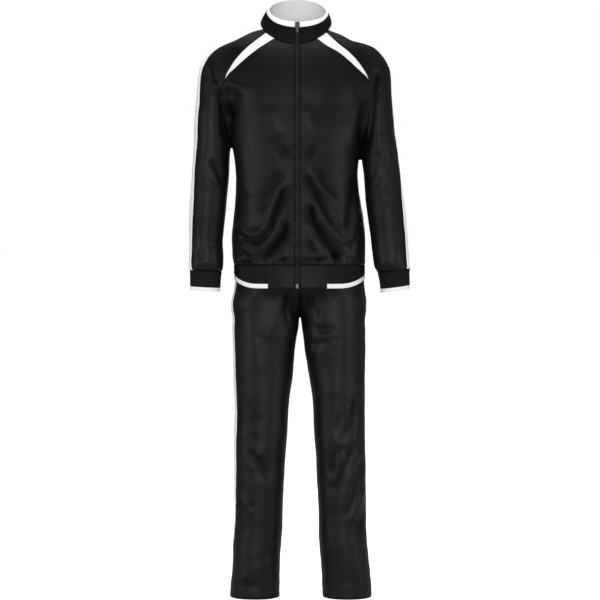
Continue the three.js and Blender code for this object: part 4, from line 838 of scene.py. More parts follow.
def collarSkin(ways, low, high, inset):  # low and high: 0 is the foot, 1 the band's lower edge, 2 the rim
    def skin(u, v):
        way, level = mix(ways[0], ways[1], u), mix(low, high, v)
        toFront = ease((np.cos(collarAngle(way, 0.8, inset)) - 0.2) / 0.7)
        underBand = 1 - mix(collar["bandBack"], collar["bandFront"], toFront) / collar["stand"]
        share = np.clip(level, 0, 1) * underBand + np.clip(level - 1, 0, 1) * (1 - underBand)
        angle = collarAngle(way, share, inset)
        points = collarPoint(angle, share, inset)
        ahead = collarPoint(angle + 0.01, share, inset) - collarPoint(angle - 0.01, share, inset)
        normal = levelNormal(vectors(ahead[:, 1], -ahead[:, 0], 0))
        fromMiddle = points - np.array([neckSeam["middleX"], neckSeam["middleY"], 0])
        inward = (normal * fromMiddle).sum(-1) < 0
        return points, np.where(inward[:, None], -normal, normal)
    return skin


def zipPoint(x, height):
    start = vectors(x, -8, height)
    base = wayOut(jacketForm, start, vectors(0 * height, -1, 0))
    still, none = np.zeros_like(base), np.zeros(len(base))
    onBody, normal = clothSurface(jacketForm, jacketFolds, jacketRelief, base, still, none)
    foot = neckRing(0.0)[2]
    share = np.clip((height - foot) / (collarTopRing["front"] - foot), 0, 1.2)
    half = mix(neckSeam["half"], collarTopRing["half"], share)
    onCollar = collarPoint(np.arcsin((x - collarMiddle(share)) / half), share, 0)
    onCollar[:, 0], onCollar[:, 2] = x, height
    above = (height > foot)[:, None]
    return np.where(above, onCollar, onBody), np.where(above, np.array([0.0, -1, 0]), normal)


# trousers, from the waist down to the crotch and then down each leg
def riseX(height):
    return mix(8, 5, ease((height - 780) / 200))


def oneSide(side):  # the trousers on one side of their middle seam
    return lambda p: np.maximum(trouserForm(p), signs[side] * (riseX(p[:, 2]) - p[:, 0]))


def risePoint(towards, row):
    dip, height = np.radians(rise["dip"](row)), rise["z"](row)
    start = vectors(riseX(height), 0, height)
    return wayOut(trouserForm, start, vectors(0, towards * np.cos(dip), -np.sin(dip)))


crotchZ = risePoint(1, np.array([float(garment["rowsToCrotch"])]))[0, 2]


def legRowsOf(side):
    sign, leg = signs[side], legs[side]

    def rowsAt(row):
        down = np.maximum(row - garment["rowsToCrotch"], 0) / garment["rowsOfLeg"]
        below = down > 0
        zero = np.zeros(len(row))
        axes = {
            "out": vectors(zero + sign, zero, zero),
            "turn": vectors(zero, zero - 1, zero),
            "along": vectors(zero, zero, zero + 1),
        }
        height = mix(middles["z"](row), 0, down)
        middle = mix(riseX(height), leg["middle"](np.minimum(height, 800)), middles["reach"](row))
        startX = np.where(below, leg["middle"](height), middle)
        start = vectors(startX, np.where(below, leg["y"](height), 0), height)
        seamHeight = mix(crotchZ, 0, down)
        within = vectors(leg["middle"](seamHeight), leg["y"](seamHeight), seamHeight)
        inside = wayOut(oneSide(side), within, vectors(zero - sign, zero, zero))
        ends = {"axes": axes}
        for name, towards in (("front", -1), ("back", 1)):
            point = np.where(below[:, None], inside, risePoint(towards, row))
            ends[name] = rowEnd(axes, start, point)
            ends[name]["angle"] = -towards * np.abs(ends[name]["angle"])
        ends.update(stripeEdges(trouserForm, axes, start, legShift[side](row), legStripe["half"]))
        return ends
    return rowsAt


def waistSkin(u, v):
    angle = u * 2 * np.pi
    start = vectors(5, 0, garment["waistHeight"] + v * garment["waistbandHeight"])
    base = wayOut(trouserForm, start, vectors(np.cos(angle), np.sin(angle), 0))
    return base, levelNormal(facing(trouserForm, base))


# materials: shared effects are node groups, and each cloth places them with its own values
def newGroup(name, inputs, outputs):
    group = bpy.data.node_groups.new(name, "ShaderNodeTree")
    for label, kind, value in inputs:
        socket = group.interface.new_socket(name=label, in_out="INPUT", socket_type=kind)
        if value is not None:
            socket.default_value = value
    for label, kind in outputs:
        group.interface.new_socket(name=label, in_out="OUTPUT", socket_type=kind)
    return group, group.nodes.new("NodeGroupInput"), group.nodes.new("NodeGroupOutput")


def addNode(tree, kind, settings=None, values=None, links=None):
    node = tree.nodes.new(kind)
    for key, value in (settings or {}).items():
        setattr(node, key, value)
    for key, value in (values or {}).items():
        node.inputs[key].default_value = value
    for key, socket in (links or {}).items():
        tree.links.new(socket, node.inputs[key])
    return node


def mathNode(tree, operation, first, second=None):
    node = addNode(tree, "ShaderNodeMath", {"operation": operation})
    for place, value in enumerate((first, second)):
        if isinstance(value, (int, float)):
            node.inputs[place].default_value = value
        elif value is not None:
            tree.links.new(value, node.inputs[place])
    return node.outputs[0]


# loops of a warp knit: thin ribs down the cloth, crossed by slanting loops
def makeKnitGroup():
    number = "NodeSocketFloat"
    inputs = [("Vector", "NodeSocketVector", None), ("Wale", number, 0.0009), ("Course", number, 0.0011),
              ("Slant", number, 0.6)]
    group, given, result = newGroup("knitLoops", inputs, [("Height", number)])
    parts = addNode(group, "ShaderNodeSeparateXYZ", links={0: given.outputs["Vector"]})
    across = mathNode(group, "DIVIDE", parts.outputs["X"], given.outputs["Wale"])
    down = mathNode(group, "DIVIDE", parts.outputs["Y"], given.outputs["Course"])
    wale = mathNode(group, "ABSOLUTE", mathNode(group, "SINE", mathNode(group, "MULTIPLY", across, math.pi)))
    side = mathNode(group, "PINGPONG", across, 0.5)
    slanted = mathNode(group, "ADD", down, mathNode(group, "MULTIPLY", side, given.outputs["Slant"]))
    loop = mathNode(group, "SINE", mathNode(group, "MULTIPLY", slanted, 2 * math.pi))
    loop = mathNode(group, "ADD", mathNode(group, "MULTIPLY", loop, 0.25), 0.75)
    group.links.new(mathNode(group, "MULTIPLY", wale, loop), result.inputs["Height"])
    return group


# cloudy tone, as on cloth that has been handled, with short lint specks
def makeToneGroup():
    number, colour = "NodeSocketFloat", "NodeSocketColor"
    inputs = [("Vector", "NodeSocketVector", None), ("Dark", colour, (0.01, 0.01, 0.01, 1)),
              ("Light", colour, (0.02, 0.02, 0.02, 1)), ("Cloud Scale", number, 9.0), ("Lint", number, 0.04)]
    group, given, result = newGroup("clothTone", inputs, [("Color", colour), ("Roughness", number)])
    cloud = addNode(group, "ShaderNodeTexNoise", values={"Detail": 4.0, "Roughness": 0.6},
                    links={"Vector": given.outputs["Vector"], "Scale": given.outputs["Cloud Scale"]})
    tone = addNode(group, "ShaderNodeMix", {"data_type": "RGBA"},
                   links={"Factor": cloud.outputs["Fac"], "A": given.outputs["Dark"],
                          "B": given.outputs["Light"]})
    fibre = addNode(group, "ShaderNodeTexNoise", values={"Scale": 900.0, "Detail": 2.0},
                    links={"Vector": given.outputs["Vector"]})
    speck = addNode(group, "ShaderNodeMapRange", values={"From Min": 0.66, "From Max": 0.8},
                    links={"Value": fibre.outputs["Fac"]})
    amount = mathNode(group, "MULTIPLY", speck.outputs["Result"], given.outputs["Lint"])
    lint = addNode(group, "ShaderNodeMix", {"data_type": "RGBA"}, values={"B": (0.5, 0.5, 0.5, 1)},
                   links={"Factor": amount, "A": tone.outputs["Result"]})
    group.links.new(lint.outputs["Result"], result.inputs["Color"])
    rough = addNode(group, "ShaderNodeMapRange", values={"To Min": 0.41, "To Max": 0.51},
                    links={"Value": cloud.outputs["Fac"]})
    group.links.new(rough.outputs["Result"], result.inputs["Roughness"])
    return group


knitLoops, clothTone = makeKnitGroup(), makeToneGroup()

tricotKnit = {"wale": 0.0010, "course": 0.0012, "slant": 0.6}
ribKnit = {"wale": 0.0016, "course": 0.0012, "slant": 1.0}
# the fold shade value of each cloth sets how strongly shade is painted into fold valleys and a highlight onto
# ridges
clothLooks = {
    "blackTricot": {**tricotKnit, "dark": 0.0029, "light": 0.0049, "bump": 0.10, "sheen": 0.006,
                    "sheenRoughness": 0.3, "specular": 0.13, "paintedFoldShade": 0.75, "lint": 0.012,
                    "tint": (1.0, 1.01, 1.05)},
    "whiteTricot": {**tricotKnit, "dark": 0.80, "light": 0.88, "bump": 0.12, "sheen": 0.10,
                    "sheenRoughness": 0.4, "specular": 0.3, "paintedFoldShade": 0.12, "lint": 0.0,
                    "tint": (1.0, 1.0, 0.992)},
    "blackRib": {**ribKnit, "dark": 0.0034, "light": 0.0055, "bump": 0.16, "sheen": 0.006,
                 "sheenRoughness": 0.5, "specular": 0.08, "paintedFoldShade": 0.5, "lint": 0.01,
                 "tint": (1.0, 1.0, 1.04)},
    "whiteRib": {**ribKnit, "dark": 0.80, "light": 0.87, "bump": 0.16, "sheen": 0.08,
                 "sheenRoughness": 0.5, "specular": 0.25, "paintedFoldShade": 0.1, "lint": 0.0,
                 "tint": (1.0, 1.0, 0.992)},
    # painted light: the collar lining is white cloth, painted a paler white than the white tricot to light it
    # up where the front of the collar shades it
    "liningPaintedLight": {"wale": 0.0012, "course": 0.0014, "slant": 0.4, "dark": 0.93, "light": 0.97, "bump": 0.12,
                    "sheen": 0.1, "sheenRoughness": 0.5, "specular": 0.2, "paintedFoldShade": 0.05, "lint": 0.0,
                    "tint": (1.0, 1.0, 1.0)},
    "zipTape": {"wale": 0.0005, "course": 0.0009, "slant": 1.2, "dark": 0.004, "light": 0.007, "bump": 0.2,
                "sheen": 0.01, "sheenRoughness": 0.5, "specular": 0.1, "paintedFoldShade": 0.3, "lint": 0.0,
                "tint": (1.0, 1.0, 1.0)},
}

# painted shade and highlight: cloth this far below (+) the cloth around it, in millimetres, is painted
# darkest, and cloth this far above (-) is painted lightest
foldShade = {"highest": -3.0, "deepest": 6.0, "ridgeShare": 0.4}


def clothMaterial(name):
    look = clothLooks[name]
    material = bpy.data.materials.new(name)
    material.use_nodes = True
    tree = material.node_tree
    shader = tree.nodes["Principled BSDF"]
    uv = addNode(tree, "ShaderNodeUVMap", {"uv_map": "UVMap"})
    place = addNode(tree, "ShaderNodeTexCoord")
    tone = addNode(tree, "ShaderNodeGroup", {"node_tree": clothTone},
                   links={"Vector": place.outputs["Object"]})
    tone.inputs["Dark"].default_value = [look["dark"] * part for part in look["tint"]] + [1]
    tone.inputs["Light"].default_value = [look["light"] * part for part in look["tint"]] + [1]
    tone.inputs["Lint"].default_value = look["lint"]
    knit = addNode(tree, "ShaderNodeGroup", {"node_tree": knitLoops}, links={"Vector": uv.outputs["UV"]})
    for label, key in (("Wale", "wale"), ("Course", "course"), ("Slant", "slant")):
        knit.inputs[label].default_value = look[key]
    bump = addNode(tree, "ShaderNodeBump", values={"Strength": look["bump"], "Distance": 0.0003},
                   links={"Height": knit.outputs["Height"]})
    # painted shade: the base colour and the specular level are darkened where the cloth lies in a fold's
    # valley and lightened on a ridge, by the hollow depth kept on the mesh
    hollow = addNode(tree, "ShaderNodeAttribute", {"attribute_name": "hollow"})
    shadeRange = {"From Min": foldShade["highest"], "From Max": foldShade["deepest"],
                  "To Min": 1 + foldShade["ridgeShare"] * look["paintedFoldShade"], "To Max": 1 - look["paintedFoldShade"]}
    shade = addNode(tree, "ShaderNodeMapRange", values=shadeRange, links={"Value": hollow.outputs["Fac"]})
    shaded = addNode(tree, "ShaderNodeMix", {"data_type": "RGBA", "blend_type": "MULTIPLY"},
                     values={"Factor": 1.0}, links={"A": tone.outputs["Color"], "B": shade.outputs["Result"]})
    gloss = mathNode(tree, "MULTIPLY", shade.outputs["Result"], look["specular"])
    tree.links.new(shaded.outputs["Result"], shader.inputs["Base Color"])
    tree.links.new(gloss, shader.inputs["Specular IOR Level"])
    tree.links.new(tone.outputs["Roughness"], shader.inputs["Roughness"])
    tree.links.new(bump.outputs["Normal"], shader.inputs["Normal"])
    shader.inputs["Sheen Weight"].default_value = look["sheen"]
    shader.inputs["Sheen Roughness"].default_value = look["sheenRoughness"]
    return material


hardLooks = {
    "darkMetal": {"colour": (0.045, 0.046, 0.05), "worn": (0.16, 0.16, 0.165), "metallic": 0.85,
                  "rough": (0.3, 0.45)},
    "brightMetal": {"colour": (0.055, 0.056, 0.058), "worn": (0.10, 0.102, 0.105), "metallic": 1.0,
                    "rough": (0.35, 0.5)},
    "coilNylon": {"colour": (0.005, 0.005, 0.006), "worn": (0.012, 0.012, 0.013), "metallic": 0.0,
                  "rough": (0.5, 0.7)},
    "blackThread": {"colour": (0.02, 0.02, 0.022), "worn": (0.05, 0.05, 0.053), "metallic": 0.0,
                    "rough": (0.45, 0.6)},
}


def hardMaterial(name):
    look = hardLooks[name]
    material = bpy.data.materials.new(name)
    material.use_nodes = True
    tree = material.node_tree
    shader = tree.nodes["Principled BSDF"]
    place = addNode(tree, "ShaderNodeTexCoord")
    worn = addNode(tree, "ShaderNodeTexNoise", values={"Scale": 240.0, "Detail": 5.0},
                   links={"Vector": place.outputs["Object"]})
    colour = addNode(tree, "ShaderNodeMix", {"data_type": "RGBA"},
                     values={"A": look["colour"] + (1,), "B": look["worn"] + (1,)},
                     links={"Factor": worn.outputs["Fac"]})
    rough = addNode(tree, "ShaderNodeMapRange",
                    values={"To Min": look["rough"][0], "To Max": look["rough"][1]},
                    links={"Value": worn.outputs["Fac"]})
    bump = addNode(tree, "ShaderNodeBump", values={"Strength": 0.15, "Distance": 0.0001},
                   links={"Height": worn.outputs["Fac"]})
    tree.links.new(colour.outputs["Result"], shader.inputs["Base Color"])
    tree.links.new(rough.outputs["Result"], shader.inputs["Roughness"])
    tree.links.new(bump.outputs["Normal"], shader.inputs["Normal"])
    shader.inputs["Metallic"].default_value = look["metallic"]
    return material


materials = {name: clothMaterial(name) for name in clothLooks}
materials.update({name: hardMaterial(name) for name in hardLooks})
print("materials made")


def inMetres(points):
    return (points - np.array([0, 0, garment["neckHeight"]])) / 1000


# distance along the cloth from one edge of a grid of points to each point, by rows or by columns
def lengthsAlong(grid, axis):
    steps = np.linalg.norm(np.diff(grid, axis=axis), axis=-1)
    shape = list(steps.shape)
    shape[axis] = 1
    return np.concatenate([np.zeros(shape), np.cumsum(steps, axis=axis)], axis=axis)


# cloth dips into its seam and stands a little proud beside it
seamShape = {"proud": 0.32, "proudAt": 6, "proudWidth": 3.5, "dipWidth": 2.1}


def seamGroove(away, depth):
    proud = seamShape["proud"] * np.exp(-((away - seamShape["proudAt"]) / seamShape["proudWidth"]) ** 2)
    return depth * (proud - np.exp(-((away / seamShape["dipWidth"]) ** 2)))


# How far each point of a sheet lies below the smoothed sheet around it, in millimetres. It is above zero in
# the valleys of folds, where it sets how much shade the materials paint in.
def hollowsOf(grid, normals, rounds=36):
    smooth = grid
    for _ in range(rounds):
        for axis in (0, 1):
            padded = np.concatenate([smooth.take([0], axis), smooth, smooth.take([-1], axis)], axis)
            count = smooth.shape[axis]
            smooth = sum(padded.take(range(first, first + count), axis) for first in range(3)) / 3
    below = ((smooth - grid) * normals).sum(-1)
    return below - np.median(below)


# One piece of cloth: a grid whose points are moved onto its skin, with seam edges, thickness and UVs in
# real size.
def clothPiece(name, spec, skin):
    columns, rows = spec["grid"]
    bm = bmesh.new()
    bmesh.ops.create_grid(bm, x_segments=columns, y_segments=rows, size=0.5)
    mesh = bpy.data.meshes.new(name)
    bm.to_mesh(mesh)
    bm.free()
    flat = np.empty(len(mesh.vertices) * 3)
    mesh.vertices.foreach_get("co", flat)
    flat = flat.reshape(-1, 3) + 0.5
    i, j = (np.rint(flat[:, axis] * count).astype(int) for axis, count in ((0, columns), (1, rows)))
    crowdU, crowdV = spec.get("crowd", (0.55, 0.3))
    u = np.round(flat[:, 0] - crowdU * np.sin(2 * np.pi * flat[:, 0]) / (2 * np.pi), 9)
    v = np.round(flat[:, 1] - crowdV * np.sin(2 * np.pi * flat[:, 1]) / (2 * np.pi), 9)
    points, normals = skin(np.clip(u, 0, 1), np.clip(v, 0, 1))
    grid = np.empty((rows + 1, columns + 1, 3))
    grid[j, i] = points
    acrossCloth, downCloth = lengthsAlong(grid, 1), lengthsAlong(grid, 0)
    edges = spec["seams"]  # groove depth at the first and last column, then at the first and last row
    shift = seamGroove(acrossCloth, edges[0]) + seamGroove(acrossCloth[:, -1:] - acrossCloth, edges[1])
    shift = shift + seamGroove(downCloth, edges[2]) + seamGroove(downCloth[-1:] - downCloth, edges[3])
    if "ribs" in spec:  # ribs of the knit stand up down the piece
        ribCount = round(acrossCloth[:, -1].mean() / spec["ribs"])
        turns = ribCount * acrossCloth / acrossCloth[:, -1:]
        shift = shift + garment["ribRise"] * np.cos(2 * np.pi * turns)
    facingGrid = np.empty_like(grid)
    facingGrid[j, i] = normals
    # the hollow depths are kept on the mesh so that the materials can paint shade into the folds
    hollows = hollowsOf(grid, facingGrid)[j, i].astype(np.float32)
    mesh.attributes.new("hollow", "FLOAT", "POINT").data.foreach_set("value", hollows)
    points = points + normals * shift[j, i][:, None]
    mesh.vertices.foreach_set("co", inMetres(points).ravel())
    uv = np.stack([(acrossCloth - acrossCloth[:, -1:] / 2)[j, i], -downCloth[j, i]], -1) / 1000
    corner = np.empty(len(mesh.loops), np.int32)
    mesh.loops.foreach_get("vertex_index", corner)
    mesh.uv_layers.new(name="UVMap").data.foreach_set("uv", uv[corner].astype(np.float32).ravel())
    bm = bmesh.new()
    bm.from_mesh(mesh)
    if spec.get("ring"):
        bmesh.ops.remove_doubles(bm, verts=bm.verts, dist=0.00005)
    bm.normal_update()
    place, facingOut = inMetres(points), 0.0
    for face in list(bm.faces)[:: max(1, len(bm.faces) // 300)]:  # a few faces tell which way the sheet looks
        nearest = np.argmin(((place - np.array(face.calc_center_median())) ** 2).sum(-1))
        facingOut += face.normal.dot(Vector(normals[nearest]))
    if facingOut < 0:
        bmesh.ops.reverse_faces(bm, faces=bm.faces)
    for face in bm.faces:
        face.smooth = True
    bm.to_mesh(mesh)
    bm.free()
    piece = bpy.data.objects.new(name, mesh)
    bpy.context.scene.collection.objects.link(piece)
    mesh.materials.append(materials[spec["material"]])
    thick = piece.modifiers.new("clothThickness", "SOLIDIFY")
    thick.thickness = spec.get("thick", garment["clothThick"])
    thick.offset = -1
    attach(piece, "garment")
    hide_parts(spec["node"])
    real = (lengthsAlong(grid, 1)[:, -1].mean() / 1000, lengthsAlong(grid, 0)[-1].mean() / 1000)
    print(f"{name}: {len(mesh.polygons)} faces, about {real[0]:.3f} by {real[1]:.3f} m")
    return piece


bodyGrid, sleeveGrid, legGrid = (60, 170), (36, 170), (56, 220)
tricot = {"material": "blackTricot", "slot": "black_tricot"}
white = {"material": "whiteTricot", "slot": "white_tricot"}
for side in signs:
    clothPiece("front" + side.title(), {**tricot, "node": "front_" + side, "grid": bodyGrid,
                                        "seams": (1.3, 1.0, 0.8, 1.0), "flat": (0.22, 0.60)},
               bodyPanel(side, "front"))
clothPiece("backPanel", {**tricot, "node": "back", "grid": (110, 170), "seams": (1.0, 1.0, 0.8, 1.0),
                         "flat": (0.46, 0.64)}, backSkin)
print("body panels made")

sleeveSpecs = {
    "sleeveFront": {**tricot, "node": "sleeve_front_", "grid": sleeveGrid, "seams": (1.0, 0.9, 0.8, 1.0),
                    "flat": (0.15, 0.72), "area": 0.085, "ends": ("front", "frontStripe")},
    "sleeveStripe": {**white, "node": "sleeve_stripe_", "grid": (20, 170), "seams": (0.9, 0.9, 0.8, 1.0),
                     "flat": (0.056, 0.74), "ends": ("frontStripe", "backStripe")},
    "sleeveBack": {**tricot, "node": "sleeve_back_", "grid": sleeveGrid, "seams": (0.9, 1.0, 0.8, 1.0),
                   "flat": (0.15, 0.72), "area": 0.085, "ends": ("backStripe", "back")},
}
sleeveRowCount = garment["rowsToArmpit"] + garment["rowsOfSleeve"]
for side in signs:
    for name, spec in sleeveSpecs.items():
        rowsAt = sleeveRows(side)
        skin = rowPanel(jacketForm, jacketFolds, jacketRelief, rowsAt, sleeveRowCount, *spec["ends"])
        clothPiece(name + side.title(), {**spec, "node": spec["node"] + side}, skin)
    clothPiece("raglanInsert" + side.title(), {**white, "node": "raglan_insert_" + side, "grid": (12, 60),
                                               "seams": (0.9, 0.9, 0.8, 0.0), "flat": (0.034, 0.18),
                                               "area": 0.0040}, insertSkin(side))
print("sleeves made")

legSpecs = {
    "legFront": {**tricot, "node": "leg_front_", "grid": legGrid, "seams": (0.9, 0.9, 0.0, 0.7),
                 "flat": (0.26, 1.04), "ends": ("front", "frontStripe")},
    "legStripe": {**white, "node": "leg_stripe_", "grid": (18, 220), "seams": (0.9, 0.9, 0.0, 0.7),
                  "flat": (0.05, 1.04), "ends": ("frontStripe", "backStripe")},
    "legBack": {**tricot, "node": "leg_back_", "grid": legGrid, "seams": (0.9, 0.9, 0.0, 0.7),
                "flat": (0.27, 1.04), "area": 0.245, "ends": ("backStripe", "back")},
}
legRowCount = garment["rowsToCrotch"] + garment["rowsOfLeg"]
for side in signs:
    for name, spec in legSpecs.items():
        skin = rowPanel(trouserForm, trouserFolds, trouserRelief, legRowsOf(side), legRowCount, *spec["ends"],
                        neck=False, within=oneSide(side))
        clothPiece(name + side.title(), {**spec, "node": spec["node"] + side}, skin)
clothPiece("waistBand", {"material": "blackRib", "slot": "black_rib", "node": "waistband", "grid": (160, 10),
                         "ring": True, "seams": (0, 0, 0.5, 0.5), "flat": (0.84, 0.036), "held": "gathered"},
           waistSkin)
print("trousers made")

evenColumns = {"crowd": (0, 0.3)}
rib = {**evenColumns, "material": "blackRib", "slot": "black_rib", "thick": garment["ribThick"], "ribs": 3.0,
       "held": "stretched"}
ribTip = {**evenColumns, "material": "whiteRib", "slot": "white_rib", "thick": garment["ribThick"],
          "held": "stretched"}
hemArc = (frontAngle(-garment["hemPlainReach"]), frontAngle(garment["hemPlainReach"]) - 2 * math.pi)
clothPiece("hemRib", {**rib, "node": "hem_rib", "grid": (1500, 10), "seams": (0.8, 0.8, 0.9, 0.6),
                      "flat": (0.80, 0.04)}, hemSkin(hemArc, "top", "tip"))
clothPiece("hemTip", {**ribTip, "node": "hem_tip", "grid": (300, 8), "seams": (0.8, 0.8, 0.6, 0.5),
                      "flat": (0.80, 0.012)}, hemSkin(hemArc, "tip", "bottom"))
tipTop = garment["cuffBottom"] + garment["cuffTipHeight"]
for side, sign in signs.items():
    end = side.title()
    zipEdge = frontAngle(garment["zipCentre"] + sign * garment["zipHalf"])
    arc = (zipEdge, frontAngle(sign * garment["hemPlainReach"]))
    clothPiece("hemPanel" + end, {**tricot, "node": "hem_panel_" + side, "grid": (36, 30),
                                  "seams": (1.2, 0.8, 0.9, 0.7), "flat": (0.075, 0.062),
                                  "thick": garment["ribThick"]}, hemSkin(arc, "top", "bottom"))
    clothPiece("cuff" + end, {**rib, "node": "cuff_" + side, "grid": (500, 14), "ring": True,
                              "seams": (0, 0, 1.0, 0.5), "flat": (0.26, 0.045)},
               cuffSkin(side, garment["cuffTop"], tipTop))
    clothPiece("cuffTip" + end, {**ribTip, "node": "cuff_tip_" + side, "grid": (120, 8), "ring": True,
                                 "seams": (0, 0, 0.5, 0.5), "flat": (0.26, 0.01)},
               cuffSkin(side, tipTop, garment["cuffBottom"]))
print("hem band and cuffs made")

inset = collar["wall"] + collar["liningGap"]
for side, ways, seams in (("right", (0, 0.5), (1.0, 0, 0.9, 0.6)), ("left", (0.5, 1), (0, 1.0, 0.9, 0.6))):
    clothPiece("collar" + side.title(), {**rib, "ribs": 2.6, "node": "collar_" + side, "grid": (420, 16),
                                         "seams": seams, "flat": (0.27, 0.045)}, collarSkin(ways, 0, 1, 0))
clothPiece("collarBand", {**white, **evenColumns, "node": "collar_band", "grid": (300, 10),
                          "seams": (0.8, 0.8, 0.6, 0.6), "flat": (0.48, 0.01)}, collarSkin((0, 1), 1, 2, 0))
clothPiece("collarLining", {**evenColumns, "material": "liningPaintedLight", "slot": "white_tricot",
                            "node": "collar_lining", "grid": (260, 24), "seams": (0.5, 0.5, 0.4, 0.5),
                            "flat": (0.51, 0.055)}, collarSkin((0, 1), 0, 2, inset))
print("collar made")

zipSpec = {"low": float(hemBottom(-math.pi / 2)) + 13, "top": 1541.5, "sink": 0.6, "pitch": 1.7,
           "toothRise": 0.35, "toothReach": 1.15, "toothTurn": 0.12, "toothSize": (1.9, 0.55, 0.42),
           "topTooth": 1530}
for side, sign in signs.items():
    def tapeSkin(u, v, sign=sign):
        height = mix(zipSpec["low"], zipSpec["top"], v)
        points, normals = zipPoint(garment["zipCentre"] + sign * garment["zipHalf"] * u, height)
        return points - normals * zipSpec["sink"], normals
    clothPiece("zipTape" + side.title(), {"material": "zipTape", "slot": "zip_tape",
                                          "node": "zip_tape_" + side, "grid": (6, 260), "seams": (0, 0, 0, 0),
                                          "flat": (0.01, 0.69), "area": 0.0042, "thick": 0.0008,
                                          "crowd": (0, 0)}, tapeSkin)


# Small hard things set along a line, each one sphere, stretched and turned onto the line. They are made a few
# at a time, because each operator goes over its whole mesh.
def beadsAlong(name, material, node, places, directions, normals, size):
    bm, mesh, few = bmesh.new(), bpy.data.meshes.new(name), 16
    for first in range(0, len(places), few):
        some = bmesh.new()
        for k in range(first, min(first + few, len(places))):
            along = Vector(directions[k]).normalized()
            out = (Vector(normals[k]) - along * Vector(normals[k]).dot(along)).normalized()
            turn = Matrix([along, out, along.cross(out)]).transposed().to_4x4()
            stretch = Matrix.Diagonal((size[0] / 1000, size[1] / 1000, size[2] / 1000, 1))
            bmesh.ops.create_uvsphere(some, u_segments=8, v_segments=5, radius=1,
                                      matrix=Matrix.Translation(Vector(places[k])) @ turn @ stretch)
        some.to_mesh(mesh)
        some.free()
        bm.from_mesh(mesh)
    for face in bm.faces:
        face.smooth = True
    bm.to_mesh(mesh)
    bm.free()
    piece = bpy.data.objects.new(name, mesh)
    bpy.context.scene.collection.objects.link(piece)
    mesh.materials.append(materials[material])
    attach(piece, "garment")
    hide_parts(node)
    print(f"{name}: {len(places)} set")
    return piece


heights = np.arange(zipSpec["low"] + 3, zipSpec["topTooth"], zipSpec["pitch"] / 2)
coil, coilNormals = zipPoint(garment["zipCentre"], heights)
leftRight = np.where(np.arange(len(heights)) % 2 == 0, 1, -1)
coil = coil + coilNormals * zipSpec["toothRise"]
coil[:, 0] += leftRight * zipSpec["toothReach"]
crosswise = vectors(1, 0, zipSpec["toothTurn"] * leftRight)
beadsAlong("zipCoil", "coilNylon", "zip_tape_left", inMetres(coil), crosswise, coilNormals,
           zipSpec["toothSize"])
print("zip made")


# stitches lie on the cloth where rays from outside meet it
def onCloth(pieces, origins, towards):
    found = []
    trees = []
    for piece in pieces:
        bm = bmesh.new()
        bm.from_mesh(bpy.data.objects[piece].data)
        trees.append(BVHTree.FromBMesh(bm))
        bm.free()
    for origin, direction in zip(origins, towards):
        hits = [tree.ray_cast(Vector(origin), Vector(direction).normalized()) for tree in trees]
        hits = [hit for hit in hits if hit[0] is not None]
        found.append(min(hits, key=lambda hit: hit[3])[:2] if hits else None)
    return found


stitch = {"length": 2.3, "step": 3.1, "thick": 0.24, "rise": 0.0001, "fromZip": 16, "besideZip": (843, 1489),
          "legRows": (17, 27), "bandRows": (905.5, 911.5)}


def stitchLine(name, pieces, origins, towards, node):
    found = [hit for hit in onCloth(pieces, origins, towards) if hit]
    points = np.array([tuple(hit[0]) for hit in found])
    outward = np.array([tuple(hit[1] if hit[1].dot(Vector(towards[0])) < 0 else -hit[1]) for hit in found])
    far = np.concatenate([[0], np.cumsum(np.linalg.norm(np.diff(points, axis=0), axis=1))]) * 1000
    stations = np.arange(stitch["step"], far[-1] - stitch["step"], stitch["step"])

    def along(places, values):
        return np.stack([np.interp(places, far, values[:, axis]) for axis in range(3)], -1)
    spots, normals = along(stations, points), along(stations, outward)
    ahead = along(stations + 1, points) - spots
    size = (stitch["length"] / 2, stitch["thick"], stitch["thick"])
    return beadsAlong(name, "blackThread", node, spots + normals * stitch["rise"], ahead,
                      normals, size)


for side, sign in signs.items():
    end = side.title()
    z = np.arange(*stitch["besideZip"], 3.0)
    origins = inMetres(vectors(garment["zipCentre"] + sign * stitch["fromZip"], -400, z))
    stitchLine("zipStitch" + end, ["front" + end, "hemPanel" + end], origins,
               np.tile([0.0, 1, 0], (len(z), 1)), "front_" + side)
    parts = [part + end for part in ("legFront", "legStripe", "legBack")]
    for row, height in enumerate(stitch["legRows"]):  # twin rows above each trouser hem
        angle = np.linspace(0, 2 * math.pi, 180)
        middle = (float(legs[side]["middle"](height)), float(legs[side]["y"](height)))
        origins = inMetres(vectors(middle[0] + 200 * np.cos(angle), middle[1] + 200 * np.sin(angle), height))
        stitchLine(f"hemStitch{end}{row}", parts, origins, -vectors(np.cos(angle), np.sin(angle), 0),
                   "leg_front_" + side)
for row, height in enumerate(stitch["bandRows"]):  # twin rows above the hem band
    angle = np.linspace(0, 2 * math.pi, 500)
    origins = inMetres(vectors(300 * np.cos(angle), 300 * np.sin(angle), height))
    stitchLine(f"bandStitch{row}", ["frontLeft", "frontRight", "backPanel"], origins,
               -vectors(np.cos(angle), np.sin(angle), 0), "back")
print("stitches made")

for node, look in (("zip_slider", "darkMetal"), ("zip_pull", "darkMetal"), ("zip_box", "brightMetal")):
    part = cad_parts[node]
    part.data.materials.clear()
    part.data.materials.append(materials[look])
    edges = part.modifiers.new("softEdges", "BEVEL")
    edges.width = 0.0003
    edges.segments = 2
    edges.limit_method = "ANGLE"

